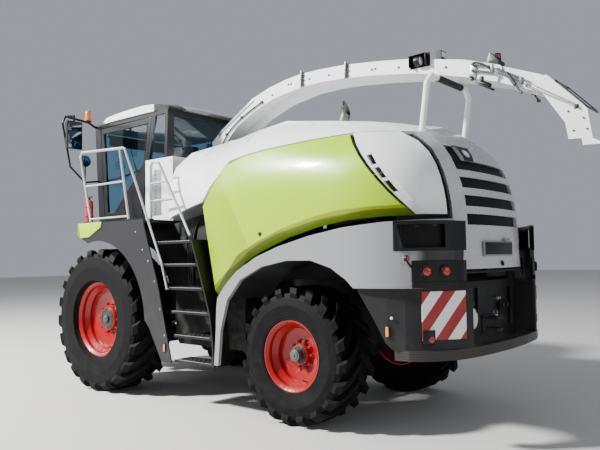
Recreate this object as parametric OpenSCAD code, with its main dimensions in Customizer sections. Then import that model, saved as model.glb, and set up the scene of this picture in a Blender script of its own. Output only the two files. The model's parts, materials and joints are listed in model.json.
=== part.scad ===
// Self-propelled forage harvester.
// Millimetres. +Z up, +X to the rear, the left side at -Y, the ground at Z = 0.

/* [Layout] */
// Distance between the front and rear axles
wheelbase = 3170; // [3100:5:3260]
// How far the front axle lies ahead of the origin
front_axle_ahead = 2175; // [2150:5:2200]
// Running gap between pieces that lie against each other
seat_gap = 0.3; // [0.2:0.1:0.5]
// Radial gap of a pin in its bore
pin_gap = 0.05; // [0.02:0.01:0.1]
// Free gap between pieces that move past each other
swing_gap = 8; // [6:1:12]

/* [Front wheels] */
// Radius over the lugs of a front tyre
front_tyre_r = 915; // [900:5:925]
// Width of a front tyre
front_tyre_w = 650; // [620:5:660]
// Middle plane of a front wheel from the centre line
front_wheel_y = 1170; // [1165:5:1180]
// Radius over the flange of a front rim
front_rim_r = 482; // [470:2:490]
// Lugs on each half of a front tyre
front_lugs = 21; // [18:1:24]

/* [Rear wheels] */
// Radius over the lugs of a rear tyre
rear_tyre_r = 695; // [690:5:705]
// Width of a rear tyre
rear_tyre_w = 560; // [540:5:570]
// Middle plane of a rear wheel from the centre line
rear_wheel_y = 1020; // [1015:5:1030]
// Radius over the flange of a rear rim
rear_rim_r = 361; // [350:1:370]
// Lugs on each half of a rear tyre
rear_lugs = 20; // [16:1:22]
// Kingpin axis from the centre line
kingpin_y = 850; // [845:5:860]

/* [Body shell] */
// Greatest half width of the upper shell
shell_half_w = 1338; // [1320:2:1345]
// Sheet thickness of the shell panels
shell_t = 30; // [24:2:36]
// Height at which the shell starts to lean inward
shell_belly_z = 2250; // [2200:10:2300]
// Half width of the tailgate
tailgate_half_w = 795; // [770:5:820]
// Gap between two shell panels
panel_gap = 12; // [8:1:16]
// Half width of the machine over the rear mudguards
fender_half_w = 1448; // [1430:2:1460]
// Wall thickness of the mudguard and skirt mouldings
fender_t = 40; // [30:2:50]
// Height of the seam between mudguard and lower skirt
skirt_top_z = 1398; // [1390:2:1404]
// Lower edge of the rear skirts
skirt_low_z = 862; // [850:2:880]

/* [Cab] */
// Half width of the cab
cab_half_w = 850; // [830:5:860]
// Top of the cab floor
cab_floor_z = 2230; // [2220:5:2240]
// Underside of the cab roof
cab_eave_z = 3668; // [3650:2:3680]
// Thickness of the cab's posts and walls
cab_wall = 56; // [50:2:64]
// Thickness of the panes
pane_t = 8; // [6:1:10]

/* [Spout] */
// Turning axis of the spout ahead of the origin
turret_ahead = 900; // [880:5:920]
// Radius of the slewing ring
turret_r = 395; // [380:5:405]
// Half width of the spout over its side plates
spout_half_w = 215; // [205:1:225]
// Plate thickness of the spout
spout_plate = 14; // [10:1:18]

/* [Front end] */
// Half width of the feed mouth
feed_half_w = 365; // [350:5:375]
// Radius of the feed rollers
roller_r = 135; // [120:5:140]
// Tube radius of the handrails
rail_r = 17; // [14:1:20]

/* [Hidden] */
$fn = 48;
front_axle_x = -front_axle_ahead;
rear_axle_x = front_axle_x + wheelbase;
turret_x = -turret_ahead;

// Linear reading of a table of [x, value] rows
function look(t, x, i = 0) =
    x <= t[0][0] ? t[0][1] :
    i >= len(t) - 1 ? t[len(t) - 1][1] :
    x <= t[i + 1][0] ? t[i][1] + (t[i + 1][1] - t[i][1]) * (x - t[i][0]) / (t[i + 1][0] - t[i][0]) :
    look(t, x, i + 1);

// Sheets between a grid of surface points and the same grid moved inward
function cell(g, i, j) = g[max(0, min(len(g) - 1, i))][max(0, min(len(g[0]) - 1, j))];
function facing(g, i, j) =
    let (a = cell(g, i + 1, j) - cell(g, i - 1, j))
    let (b = cell(g, i, j + 1) - cell(g, i, j - 1))
    let (n = cross(a, b))
    n / norm(n);
function inward(g, t) = [for (i = [0 : len(g) - 1]) [for (j = [0 : len(g[0]) - 1]) g[i][j] - t * facing(g, i, j)]];
function flat(g) = [for (row = g) for (p = row) p];

// Closed solid between two grids of the same size, the first one outside
module between(outer, inner) {
    rows = len(outer);
    cols = len(outer[0]);
    n = rows * cols;
    skin = [for (i = [0 : rows - 2]) for (j = [0 : cols - 2])
        let (a = i * cols + j, b = a + 1, c = a + cols, d = c + 1)
        each [[a, b, c], [b, d, c], [n + a, n + c, n + b], [n + b, n + c, n + d]]];
    rim_j = [for (i = [0 : rows - 2])
        let (a = i * cols, c = a + cols, e = a + cols - 1, f = e + cols)
        each [[a, c, n + a], [c, n + c, n + a], [e, n + e, f], [f, n + e, n + f]]];
    rim_i = [for (j = [0 : cols - 2])
        let (a = j, b = j + 1, c = (rows - 1) * cols + j, d = c + 1)
        each [[a, n + a, b], [b, n + a, n + b], [c, d, n + c], [d, n + d, n + c]]];
    polyhedron(points = concat(flat(outer), flat(inner)), faces = concat(skin, rim_j, rim_i), convexity = 8);
}

module sheet(grid, t) {
    between(grid, inward(grid, t));
}

module both_sides() {
    children();
    mirror([0, 1, 0]) children();
}

// Bar along a list of points, with a ball a little larger than the bar at each bend
bend_swell = 0.8;
module tube(points, r) {
    for (i = [0 : len(points) - 2])
        tube_leg(points[i], points[i + 1], r);
    for (i = [1 : 1 : len(points) - 2])
        translate(points[i]) sphere(r = r + bend_swell, $fn = 24);
}

module tube_leg(a, b, r) {
    d = b - a;
    l = norm(d);
    turn = atan2(d[1], d[0]);
    lean = acos(d[2] / l);
    translate(a) rotate([0, lean, turn]) cylinder(r = r, h = l, $fn = 24);
}

// Plate between two heights with its outline in the X-Z plane
module side_plate(outline, y0, y1) {
    translate([0, y1, 0]) rotate([90, 0, 0]) linear_extrude(height = y1 - y0) polygon(outline);
}

module cross_cyl(x, z, r, y0, y1) {
    translate([x, y1, z]) rotate([90, 0, 0]) cylinder(r = r, h = y1 - y0);
}

// Box between two opposite corners
module block(a, b) {
    translate(a) cube(b - a);
}

// Upper shell: half width by x, centre height by x, tail profile by z
belt_w = [[-1380, 1135], [-380, 1200], [60, shell_half_w - 6], [700, shell_half_w], [1700, shell_half_w]];
crown_z = [[-1380, 3150], [-200, 3235], [568, 3330], [1400, 3210], [2160, 3010]];
tail_x = [[1500, 2684], [1990, 2662], [2205, 2642], [2370, 2605], [2530, 2552], [2700, 2470],
    [2825, 2355], [2910, 2250], [2975, 2175]];
tail_start_x = 1600;
tail_power = 2.6;
function lean_in(x, z) =
    let (t = max(0, min(0.985, (z - shell_belly_z) / (look(crown_z, x) - shell_belly_z))))
    pow(1 - pow(t, 2.4), 1 / 2.6);
function tail_in(x, z) =
    let (s = max(0, min(0.999, (x - tail_start_x) / (look(tail_x, z) - tail_start_x))))
    pow(1 - pow(s, tail_power), 1 / tail_power);
function shell_y(x, z) = look(belt_w, x) * lean_in(x, z) * tail_in(x, z);
function shell_tail_x(y, z) =
    let (w = shell_half_w * lean_in(2000, z))
    tail_start_x + (look(tail_x, z) - tail_start_x) * pow(1 - pow(min(0.999, abs(y) / w), tail_power), 1 / tail_power);

// Side door outline: along its lower and its upper edge, columns x and z
door_low = [[-40, 1232], [170, 1424], [355, 1625], [607, 1744], [1000, 1880], [1390, 1974], [1745, 2025],
    [2080, 2044], [2330, 2048]];
door_top = [[-372, 2290], [-150, 2500], [30, 2705], [330, 2790], [650, 2820], [950, 2840], [1220, 2855],
    [1450, 2866], [1640, 2873]];
door_rows = 7;
tuck_depth = 70;
tuck_height = 95;
function door_point(i, k) =
    let (x = door_low[i][0] + (door_top[i][0] - door_low[i][0]) * k)
    let (z = door_low[i][1] + (door_top[i][1] - door_low[i][1]) * k)
    [x, -shell_y(x, z), z];
function door_col(i) =
    let (h = door_top[i][1] - door_low[i][1])
    let (first = door_point(i, 0))
    concat([[first[0], first[1] + tuck_depth, first[2]]],
        [for (k = [0 : door_rows - 1]) door_point(i, tuck_height / h + (1 - tuck_height / h) * k / (door_rows - 1))]);

// Rear mudguard: arch and top edge in the X-Z plane, columns x and z
arch_low_x = rear_axle_x - 862;
fender_top = [[130, 1262], [250, 1400], [420, 1545], [700, 1690], [1000, 1790], [1400, 1885], [1800, 1950],
    [2200, 1985], [2760, 2010]];
fender_power = 3.2;
fender_start_x = 1500;
function fender_plan(w, xt, inset, steps) =
    [for (i = [0 : steps])
        let (s = 1 - pow(1 - i / steps, 2))
        let (x = fender_start_x + (xt - inset - fender_start_x) * s)
        [x, (w - inset) * pow(1 - pow(min(0.9999, s), fender_power), 1 / fender_power)]];

// Spout: upper and lower edge of the side plates, columns x and z
spout_upper = [[-1285, 3270], [-1130, 3395], [-966, 3490], [-700, 3640], [-497, 3749], [-222, 3834], [60, 3885],
    [294, 3910], [600, 3908], [968, 3889], [1400, 3838], [1827, 3777], [2438, 3640], [2776, 3522]];
spout_end = [[2815, 3506], [2828, 3478], [2816, 3448]];
spout_lower = [[2776, 3352], [2438, 3462], [2084, 3562], [1827, 3618], [1365, 3688], [900, 3738], [600, 3752],
    [290, 3745], [-164, 3680], [-530, 3556], [-800, 3425], [-985, 3270]];
flap_pin = [2790, 3478];
tip_pin = [3226, 3296];
flap_pin_r = 16;
tip_pin_r = 12;
spout_hinge = [-1215, 3215];

// Chassis: rails, cross members, axle mounts, cab stand
rear_rail_y = [190, 288];
front_rail_y = [460, 570];
rail_z = [1130, 1430];
front_rail_z = [1000, 1360];
frame_front_x = -2560;
frame_joint_x = [-470, -330];
frame_rear_x = 2380;
axle_pivot_r = 45;

module chassis() {
    color("#2b2d30") {
        both_sides() {
            block([frame_joint_x[0], rear_rail_y[0], rail_z[0]], [frame_rear_x, rear_rail_y[1], rail_z[1]]);
            block([frame_front_x, front_rail_y[0], front_rail_z[0]],
                [frame_joint_x[1], front_rail_y[1], front_rail_z[1]]);
            block([front_axle_x - 110, front_rail_y[0], front_tube_z + front_tube_r + seat_gap],
                [front_axle_x + 110, front_rail_y[1], front_rail_z[0] + 1]);
            cab_stand();
            body_posts();
        }
        block([frame_joint_x[0], -front_rail_y[1], front_rail_z[0]],
            [frame_joint_x[1], front_rail_y[1], rail_z[1]]);
        block([frame_rear_x - 80, -rear_rail_y[1], rail_z[0]], [frame_rear_x, rear_rail_y[1], rail_z[1]]);
        block([frame_front_x, -front_rail_y[0] - 1, stand_tie_z], [frame_front_x + 110, front_rail_y[0] + 1, stand_tie_z + 80]);
        axle_bolster();
    }
}

cab_stand_z = cab_floor_z - 50;
stand_post_x = [-2560, -1560];
stand_tie_z = 1520;
module cab_stand() {
    for (x = stand_post_x)
        block([x, front_rail_y[0], front_rail_z[1] - 1], [x + 110, front_rail_y[1], cab_stand_z - seat_gap]);
    block([-2560, front_rail_y[0], cab_stand_z - 110], [-1450, front_rail_y[1], cab_stand_z - seat_gap]);
}

// Posts and outriggers that carry the shell, the tanks and the mudguards
module body_posts() {
    block([-300, rear_rail_y[1] - 1, rail_z[1] - 90], [-210, 1120, rail_z[1]]);
    block([-300, 1040, rail_z[1] - 1], [-210, 1120, 2160]);
    block([2180, rear_rail_y[1] - 1, rail_z[1] - 90], [2270, 1130, rail_z[1]]);
}

module axle_bolster() {
    top = rail_z[0] + 1;
    for (s = [-1, 1])
        difference() {
            block([rear_axle_x + s * 125 - 25, -rear_rail_y[1], rear_beam_z], [rear_axle_x + s * 125 + 25, rear_rail_y[1], top]);
            translate([rear_axle_x + s * 125 - 30, 0, rear_beam_z]) rotate([0, 90, 0])
                cylinder(r = axle_pivot_r + pin_gap, h = 60);
        }
}

// Front axle: low cross tube, final-drive boxes, spindles
front_tube_z = 620;
front_tube_r = 115;
front_drive_y = [790, 940];
front_disc_y = front_wheel_y + 62;
front_spindle_r = 90;
module front_axle() {
    color("#3a3c40") {
        cross_cyl(front_axle_x, front_tube_z, front_tube_r, -front_drive_y[0] - 1, front_drive_y[0] + 1);
        translate([front_axle_x, 0, front_tube_z]) sphere(r = 145);
        both_sides() {
            side_plate([[front_axle_x - 150, front_tube_z - 120], [front_axle_x + 150, front_tube_z - 120],
                [front_axle_x + 210, front_tyre_r], [front_axle_x + 130, front_tyre_r + 190],
                [front_axle_x - 130, front_tyre_r + 190], [front_axle_x - 210, front_tyre_r]],
                front_drive_y[0], front_drive_y[1]);
            cross_cyl(front_axle_x, front_tyre_r, 205, front_drive_y[1] - 1, front_disc_y - 60);
            cross_cyl(front_axle_x, front_tyre_r, front_spindle_r, front_disc_y - 61, front_disc_y + 30);
            for (s = [-1, 1])
                block([front_axle_x + s * 125 - 30, feeder_cyl_y - lug_reach, front_tube_z - 60],
                    [front_axle_x + s * 125 + 30, feeder_cyl_y + lug_reach, front_tube_z + 60]);
            cylinder_lug();
        }
    }
}

// Feeder lift cylinders: lower pin on the axle, upper eye under the feed housing
feeder_cyl_y = 430;
feeder_low = [-2420, 520];
feeder_eye = [-3010, 655];
cyl_pin_r = 22;
feeder_barrel_r = 42;
lug_t = 24;
lug_reach = feeder_barrel_r + 6 + lug_t;
module cylinder_lug() {
    for (y = [feeder_cyl_y - lug_reach, feeder_cyl_y + lug_reach - lug_t])
        side_plate([[front_axle_x - 150, front_tube_z + 60], [front_axle_x - 150, front_tube_z - 100],
            [feeder_low[0] - 45, feeder_low[1] - 45], [feeder_low[0] - 45, feeder_low[1] + 45]], y, y + lug_t);
    cross_cyl(feeder_low[0], feeder_low[1], cyl_pin_r, feeder_cyl_y - lug_reach, feeder_cyl_y + lug_reach);
}

// Rear swing axle with forked ends
rear_beam_z = rear_tyre_r;
beam_half_h = 105;
fork_ear = 46;
kingpin_r = 42;
module rear_axle() {
    color("#3a3c40") {
        difference() {
            block([rear_axle_x - 85, -kingpin_y + 120, rear_beam_z - beam_half_h],
                [rear_axle_x + 85, kingpin_y - 120, rear_beam_z + beam_half_h]);
            cavity = beam_half_h - 30;
            block([rear_axle_x - 60, -rear_rail_y[1], rear_beam_z - cavity], [rear_axle_x + 60, -120, rear_beam_z + cavity]);
            block([rear_axle_x - 60, 120, rear_beam_z - cavity], [rear_axle_x + 60, rear_rail_y[1], rear_beam_z + cavity]);
        }
        translate([rear_axle_x - 150, 0, rear_beam_z]) rotate([0, 90, 0]) cylinder(r = axle_pivot_r, h = 300);
        both_sides()
            for (s = [-1, 1])
                fork_plate(s);
    }
}

fork_half_h = 150;
module fork_plate(s) {
    z0 = s > 0 ? rear_beam_z + fork_half_h - fork_ear : rear_beam_z - fork_half_h;
    inner = s > 0 ? rear_beam_z + beam_half_h - 30 : rear_beam_z - fork_half_h;
    difference() {
        union() {
            translate([rear_axle_x, kingpin_y, z0]) cylinder(r = 72, h = fork_ear);
            block([rear_axle_x - 72, kingpin_y - 170, z0], [rear_axle_x + 72, kingpin_y, z0 + fork_ear]);
        }
        translate([rear_axle_x, kingpin_y, z0 - 1]) cylinder(r = kingpin_r + pin_gap, h = fork_ear + 2);
    }
    block([rear_axle_x - 72, kingpin_y - 170, inner],
        [rear_axle_x + 72, kingpin_y - 121, inner + fork_half_h - beam_half_h + 30]);
}

// Steering knuckle, drawn on the right side
arm_z = rear_tyre_r - 175;
arm_x = rear_axle_x - 250;
arm_y = kingpin_y - 165;
knuckle_half_h = fork_half_h - fork_ear - seat_gap;
rear_disc_y = rear_wheel_y + 60;
rear_spindle_r = 62;
module knuckle() {
    difference() {
        union() {
            translate([rear_axle_x, kingpin_y, rear_beam_z - knuckle_half_h]) cylinder(r = 78, h = 2 * knuckle_half_h);
            cross_cyl(rear_axle_x, rear_beam_z, 95, kingpin_y, rear_disc_y - 60);
            cross_cyl(rear_axle_x, rear_beam_z, rear_spindle_r, rear_disc_y - 61, rear_disc_y + 30);
            translate([rear_axle_x, kingpin_y, rear_beam_z - fork_half_h - 40]) cylinder(r = kingpin_r, h = 2 * fork_half_h + 50);
            steering_arm();
        }
        children();
    }
}

module steering_arm() {
    translate([0, 0, arm_z - 15]) linear_extrude(height = 30)
        polygon([[rear_axle_x + 40, kingpin_y - 40], [rear_axle_x + 40, kingpin_y + 40],
            [rear_axle_x - 40, kingpin_y + 40], [arm_x - 32, arm_y + 22], [arm_x - 32, arm_y - 30], [arm_x + 20, arm_y - 30]]);
}

tie_pin_r = 18;
module knuckle_right() {
    color("#3a3c40") {
        knuckle();
        translate([arm_x, arm_y, arm_z + 14]) cylinder(r = tie_pin_r, h = 11);
    }
}

module knuckle_left() {
    color("#3a3c40")
        mirror([0, 1, 0]) knuckle()
            translate([arm_x, arm_y, arm_z - 31]) cylinder(r = tie_pin_r + pin_gap, h = 62);
}

// Tie rod below the arms, pinned in the left one. Its right end bears on the right arm's underside.
module tie_rod() {
    rod_z = arm_z - 15 - seat_gap - 22;
    color("#3a3c40") {
        cross_cyl(arm_x, rod_z, tie_pin_r, -arm_y, arm_y);
        both_sides()
            translate([arm_x, arm_y, rod_z - 22]) cylinder(r = 34, h = 44);
        translate([arm_x, -arm_y, rod_z]) cylinder(r = tie_pin_r, h = 62);
    }
}

// Wheels, drawn at the right side and turned about the Y axis
module rim(axle_x, centre_z, mid_y, disc_y, r, half_w, bore_r) {
    seat = r - 30;
    translate([axle_x, mid_y, centre_z]) rotate([-90, 0, 0]) {
        rotate_extrude($fn = 96) {
            polygon([[r, half_w], [r - 12, half_w], [seat - 14, half_w - 28], [seat - 14, half_w - 70],
                [seat - 60, half_w - 120], [seat - 60, -half_w + 110], [seat - 14, -half_w + 60],
                [seat - 14, -half_w + 28], [r - 12, -half_w], [r, -half_w], [r, -half_w + 14],
                [seat, -half_w + 22], [seat, -half_w + 66], [seat - 46, -half_w + 116],
                [seat - 46, half_w - 126], [seat, half_w - 76], [seat, half_w - 22], [r, half_w - 14]]);
        }
        rim_disc(disc_y - mid_y, seat - 59, bore_r);
    }
}

// Dished disc with a bolted hub and a blind bore for the spindle
hub_bolts = 10;
module rim_disc(face, r, bore_r) {
    hub = bore_r * 1.85;
    difference() {
        rotate_extrude($fn = 96)
            polygon([[0, face - 59], [hub, face - 59], [hub, face - 22], [hub * 1.25, face - 22],
                [r * 0.8, face + 8], [r + 2, face + 8], [r + 2, face + 24], [r * 0.78, face + 24],
                [hub * 1.3, face - 4], [hub, face - 4], [hub, face + 20], [hub * 0.9, face + 46], [0, face + 46]]);
        translate([0, 0, face - 61]) cylinder(r = bore_r + pin_gap, h = 92);
    }
    for (k = [0 : hub_bolts - 1])
        rotate([0, 0, k * 360 / hub_bolts]) translate([hub * 1.16, 0, face - 6]) cylinder(r = 13, h = 24, $fn = 6);
}

// Tyre carcass with a lug pattern on each half
lug_h = 46;
function lug_point(r, y, a) = [r * cos(a), r * sin(a), y];
module tyre(axle_x, centre_z, mid_y, r, w, rim_r, lugs, hand) {
    seat = rim_r - 30 + seat_gap;
    base = r - lug_h;
    half = w / 2;
    bead = rim_half(w) - 22 - seat_gap;
    translate([axle_x, mid_y, centre_z]) rotate([-90, 0, 0]) {
        rotate_extrude($fn = 96)
            polygon([[seat, -bead], [rim_r + 1, -bead - 8 + seat_gap], [rim_r + 26, -half + 22], [(rim_r + r) / 2 - 20, -half + 4],
                [base - 70, -half + 18], [base - 22, -half + 42], [base - 4, -half * 0.45], [base, 0],
                [base - 4, half * 0.45], [base - 22, half - 42], [base - 70, half - 18],
                [(rim_r + r) / 2 - 20, half - 4], [rim_r + 26, half - 22], [rim_r + 1, bead + 8 - seat_gap], [seat, bead]]);
        for (s = [-1, 1])
            for (k = [0 : lugs - 1])
                rotate([0, 0, (k + (s > 0 ? 0.5 : 0)) * 360 / lugs]) lug(r, half, s, hand, 360 / lugs);
    }
}
function rim_half(w) = w / 2 - (w > 600 ? 86 : 38);

// One bar from past the centre line, over the shoulder, down the side wall
module lug(r, half, s, hand, pitch) {
    base = r - lug_h;
    rows = [[-0.04, r, base - 12, -0.34, 0.20], [0.45, r, base - 14, 0.28, 0.19], [0.88, r - 8, base - 36, 0.74, 0.20],
        [0.985, r - 62, base - 76, 0.86, 0.20]];
    outer = [for (q = rows) [lug_point(q[1], s * half * q[0], hand * pitch * (q[3] - q[4])),
        lug_point(q[1], s * half * q[0], hand * pitch * (q[3] + q[4]))]];
    inner = [for (q = rows) [lug_point(q[2], s * half * q[0] * 0.93, hand * pitch * (q[3] - q[4] * 1.35)),
        lug_point(q[2], s * half * q[0] * 0.93, hand * pitch * (q[3] + q[4] * 1.35))]];
    if (s * hand > 0) between(inner, outer);
    else between(outer, inner);
}

module rim_front_right() {
    color("#c8161d")
        rim(front_axle_x, front_tyre_r, front_wheel_y, front_disc_y, front_rim_r, rim_half(front_tyre_w), front_spindle_r);
}

module rim_front_left() {
    mirror([0, 1, 0]) rim_front_right();
}

module rim_rear_right() {
    color("#c8161d")
        rim(rear_axle_x, rear_tyre_r, rear_wheel_y, rear_disc_y, rear_rim_r, rim_half(rear_tyre_w), rear_spindle_r);
}

module rim_rear_left() {
    mirror([0, 1, 0]) rim_rear_right();
}

module tyre_front_right() {
    color("#26272a")
        tyre(front_axle_x, front_tyre_r, front_wheel_y, front_tyre_r, front_tyre_w, front_rim_r, front_lugs, 1);
}

module tyre_front_left() {
    mirror([0, 1, 0]) tyre_front_right();
}

module tyre_rear_right() {
    color("#26272a")
        tyre(rear_axle_x, rear_tyre_r, rear_wheel_y, rear_tyre_r, rear_tyre_w, rear_rim_r, rear_lugs, 1);
}

module tyre_rear_left() {
    mirror([0, 1, 0]) tyre_rear_right();
}

// Engine, tanks, crop duct
engine_x = [1080, 1800];
engine_half_y = 640;
module engine_block() {
    color("#4a4d50")
        block([engine_x[0], -engine_half_y, rail_z[1] + seat_gap], [engine_x[1], engine_half_y, 2180]);
}

tank_x = [-1130, 90];
tank_y = [front_rail_y[1] + seat_gap, 985];
tank_z = [640, 1330];
module side_tanks() {
    color("#202224")
        both_sides()
            side_plate([[tank_x[0] + 60, tank_z[0]], [tank_x[1] - 90, tank_z[0]], [tank_x[1], tank_z[0] + 120],
                [tank_x[1], tank_z[1]], [tank_x[0], tank_z[1]], [tank_x[0], tank_z[0] + 120]], tank_y[0], tank_y[1]);
}

duct_half_w = 330;
duct_box_z = 2890;
drum_axis = [-2330, 1080];
drum_r = 330;
drum_half_w = 400;
trunnion_r = 60;
module crop_duct() {
    color("#4a4d50") {
        difference() {
            cross_cyl(drum_axis[0], drum_axis[1], drum_r, -drum_half_w, drum_half_w);
            cross_cyl(drum_axis[0], drum_axis[1], drum_r - 20, -drum_half_w + 20, drum_half_w - 20);
            block([drum_axis[0] - drum_r - 10, -feed_half_w, drum_axis[1] - 190],
                [drum_axis[0] - 200, feed_half_w, drum_axis[1] + 190]);
        }
        both_sides() cross_cyl(drum_axis[0], drum_axis[1], trunnion_r, drum_half_w - 1, front_rail_y[0] - seat_gap);
        side_plate([[drum_axis[0] + 260, drum_axis[1] - 120], [-1120, 1120], [turret_x + 330, 1500],
            [turret_x + 330, duct_box_z], [turret_x - 330, duct_box_z], [turret_x - 330, 1900],
            [-1800, 1330], [drum_axis[0] + 200, drum_axis[1] + 220]], -duct_half_w, duct_half_w);
        translate([turret_x, 0, duct_box_z - 1]) cylinder(r = turret_r - 30, h = duct_top_z - duct_box_z + 70, $fn = 96);
        translate([turret_x, 0, duct_box_z - 1]) cylinder(r = turret_r + 22, h = deck_z - shell_t - seat_gap - duct_box_z + 1, $fn = 96);
    }
}

// Hood: one moulding over the engine with the front side panels
duct_top_z = 2960;
deck_z = 2962;
hood_front_x = -1140;
hood_open_x = -230;
hood_x = [hood_front_x, -985, -700, -385, hood_open_x, hood_open_x + 30, 100, 330, 560, 600, 900, 1220, 1640,
    1664, 1900, 2150];
hood_edge = [[-1380, 3028], [568, 3205], [610, 3185], [2150, 2960]];
hood_low = [[-1140, 2165], [-1030, 2187], [-561, 2310], [-385, 2345], [-384, 2380], [-150, 2545], [30, 2750], [330, 2804],
    [650, 2834], [950, 2854], [1220, 2869], [1640, 2888], [1664, 2890], [2150, 2900]];
hood_rows = 5;
hood_rake = 100;
function hood_side(x) =
    let (z0 = look(hood_low, x), z1 = look(hood_edge, x))
    [for (k = [0 : hood_rows - 1])
        let (z = z0 + (z1 - z0) * k / (hood_rows - 1))
        [x + (x <= hood_front_x ? hood_rake * (1 - k / (hood_rows - 1)) : 0), -shell_y(x, z), z]];
function hood_half(x) =
    let (edge = hood_side(x)[hood_rows - 1])
    let (rim_y = -edge[1], open = x <= hood_open_x)
    let (inner_z = open ? deck_z : edge[2] + 22)
    concat(hood_side(x), [[x, -rim_y + 45, open ? edge[2] - 4 : edge[2] + 14], [x, -rim_y + 110, inner_z]],
        [[x, -rim_y * 0.45, open ? deck_z : edge[2] + 45]]);
function hood_ring(x) =
    let (h = hood_half(x), n = len(h))
    concat(h, [for (i = [n - 1 : -1 : 0]) [x, -h[i][1], h[i][2]]]);
module hood() {
    color("#e9ebea")
        difference() {
            sheet([for (x = hood_x) hood_ring(x)], shell_t);
            translate([turret_x, 0, duct_top_z - 200]) cylinder(r = turret_r + swing_gap, h = 400, $fn = 96);
            rest_hoop(rest_r + seat_gap, rest_foot_z);
            translate([exhaust_x - 55, exhaust_y, 3190]) rotate([0, exhaust_lean, 0])
                translate([0, 0, -200]) cylinder(r = exhaust_r + seat_gap, h = 500);
        }
}

// White cover round the lower rear of the cab
cover_x = [-1895, -1320];
cover_t = 24;
module cab_cover() {
    top = cab_floor_z + 785;
    color("#e9ebea") {
        both_sides()
            difference() {
                block([cover_x[0], cab_half_w + seat_gap, platform_z + seat_gap], [cover_x[1], cab_half_w + seat_gap + cover_t, top]);
                block([cover_x[0] + 150, cab_half_w + cover_t - 5, platform_z + 60], [cover_x[0] + 380, cab_half_w + 100, top - 260]);
                cross_cyl(cover_x[0] + 265, top - 260, 115, cab_half_w + cover_t - 5, cab_half_w + 100);
            }
        block([cover_x[1] - cover_t, -cab_half_w - 1, platform_z + seat_gap], [cover_x[1], cab_half_w + 1, top]);
        block([cab_rear[0][0] + 90, -cab_half_w - 1, top - cover_t], [cover_x[1], cab_half_w + 1, top]);
    }
}

// Rear corner panels with a scoop and three slots
corner_cols = 6;
corner_rows = 8;
corner_z = [2058, 2884];
function seam_x(z) = shell_tail_x(tailgate_half_w + panel_gap + 20, z);
corner_gap = 14;
function corner_front_x(z) = 2330 + panel_gap + corner_gap + 12 + (1640 - 2330) * (z - 2048) / (2873 - 2048);
function corner_point(i, k) =
    let (z = corner_z[0] + (corner_z[1] - corner_z[0]) * i / (corner_rows - 1))
    let (x0 = corner_front_x(z), x1 = seam_x(z))
    let (x = x0 + (x1 - x0) * (1 - pow(1 - k / (corner_cols - 1), 1.6)))
    [x, -max(tailgate_half_w + panel_gap + 20, shell_y(x, z)), z];
module corner_panels() {
    color("#e9ebea")
        both_sides()
            difference() {
                sheet([for (k = [0 : corner_cols - 1]) [for (i = [0 : corner_rows - 1]) corner_point(i, k)]], shell_t);
                for (k = [0 : 2])
                    scoop_slot(k);
            }
}

slot_low = [2190, 2250];
slot_high = [1905, 2640];
module scoop_slot(k) {
    a = slot_low + (slot_high - slot_low) * (k + 0.06) / 3;
    b = slot_low + (slot_high - slot_low) * (k + 0.86) / 3;
    side_plate([a, a + [44, 10], b + [44, 10], b], -1600, -600);
}

// Side doors, hinged along their upper edge
module side_door_left() {
    color("#b5d334")
        sheet([for (i = [0 : len(door_low) - 1]) door_col(i)], shell_t);
}

module side_door_right() {
    mirror([0, 1, 0]) side_door_left();
}

// Tailgate with grille slots, hinged along its top
gate_cols = 9;
gate_low_z = 1552;
gate_rows = 11;
gate_top = [[0, 2962], [300, 2953], [560, 2905], [795, 2835]];
function gate_y(j) = tailgate_half_w * (1 - 2 * j / (gate_cols - 1));
function gate_point(z, j) = [shell_tail_x(gate_y(j), z), gate_y(j), z];
function gate_row(k) =
    [for (j = [0 : gate_cols - 1])
        let (top = look(gate_top, abs(gate_y(j))))
        gate_point(gate_low_z + (top - gate_low_z) * (1 - pow(1 - k / (gate_rows - 1), 1.3)), j)];
slot_rows = 4;
slot_half_w = 590;
slot_first_z = 1965;
slot_pitch = 176;
slot_h = 104;
module tailgate() {
    color("#d6d8d9")
        difference() {
            sheet([for (k = [0 : gate_rows - 1]) gate_row(k)], shell_t);
            for (k = [0 : slot_rows - 1])
                block([2200, -slot_half_w, slot_first_z + k * slot_pitch],
                    [2800, slot_half_w, slot_first_z + k * slot_pitch + slot_h]);
            block([2200, -slot_half_w, slot_first_z + (slot_rows - 1) * slot_pitch],
                [2800, -slot_half_w + 190, slot_first_z + slot_rows * slot_pitch + 70]);
        }
}

// Dark mesh behind the tailgate's slots, on the gate's own skin
mesh_rows = [2, 8];
module tailgate_grille() {
    gap = shell_t + 2 * seat_gap;
    skin = [for (k = [mesh_rows[0] : mesh_rows[1]]) gate_row(k)];
    inner = inward(skin, gap);
    outer = inward(skin, gap + 12);
    color("#141516")
        between(trimmed(inner), trimmed(outer));
}
function trimmed(g) = [for (i = [0 : len(g) - 1]) [for (j = [1 : len(g[0]) - 2]) g[i][j]]];

// Rear mudguards: outer moulding with the wheel arch, inner liner
arch_outline = [[arch_low_x, 542], [arch_low_x + 42, 925], [arch_low_x + 145, 1245], [arch_low_x + 340, 1457],
    [arch_low_x + 640, 1592], [1103, 1652], [1417, 1652], [1653, 1581], [1819, 1475], [1896, skirt_top_z + seat_gap]];
fender_tail_x = 2770;
function fender_y(x) = fender_half_w * pow(1 - pow((x - fender_start_x) / (fender_tail_x - fender_start_x), fender_power), 1 / fender_power);
module fender_shape() {
    polygon(concat([[arch_low_x - 60, 542]], [[arch_low_x - 30, 925]], [[arch_low_x - 20, 1150]], fender_top,
        [[2760, skirt_top_z + seat_gap]], [for (i = [len(arch_outline) - 1 : -1 : 0]) arch_outline[i]]));
}

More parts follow.
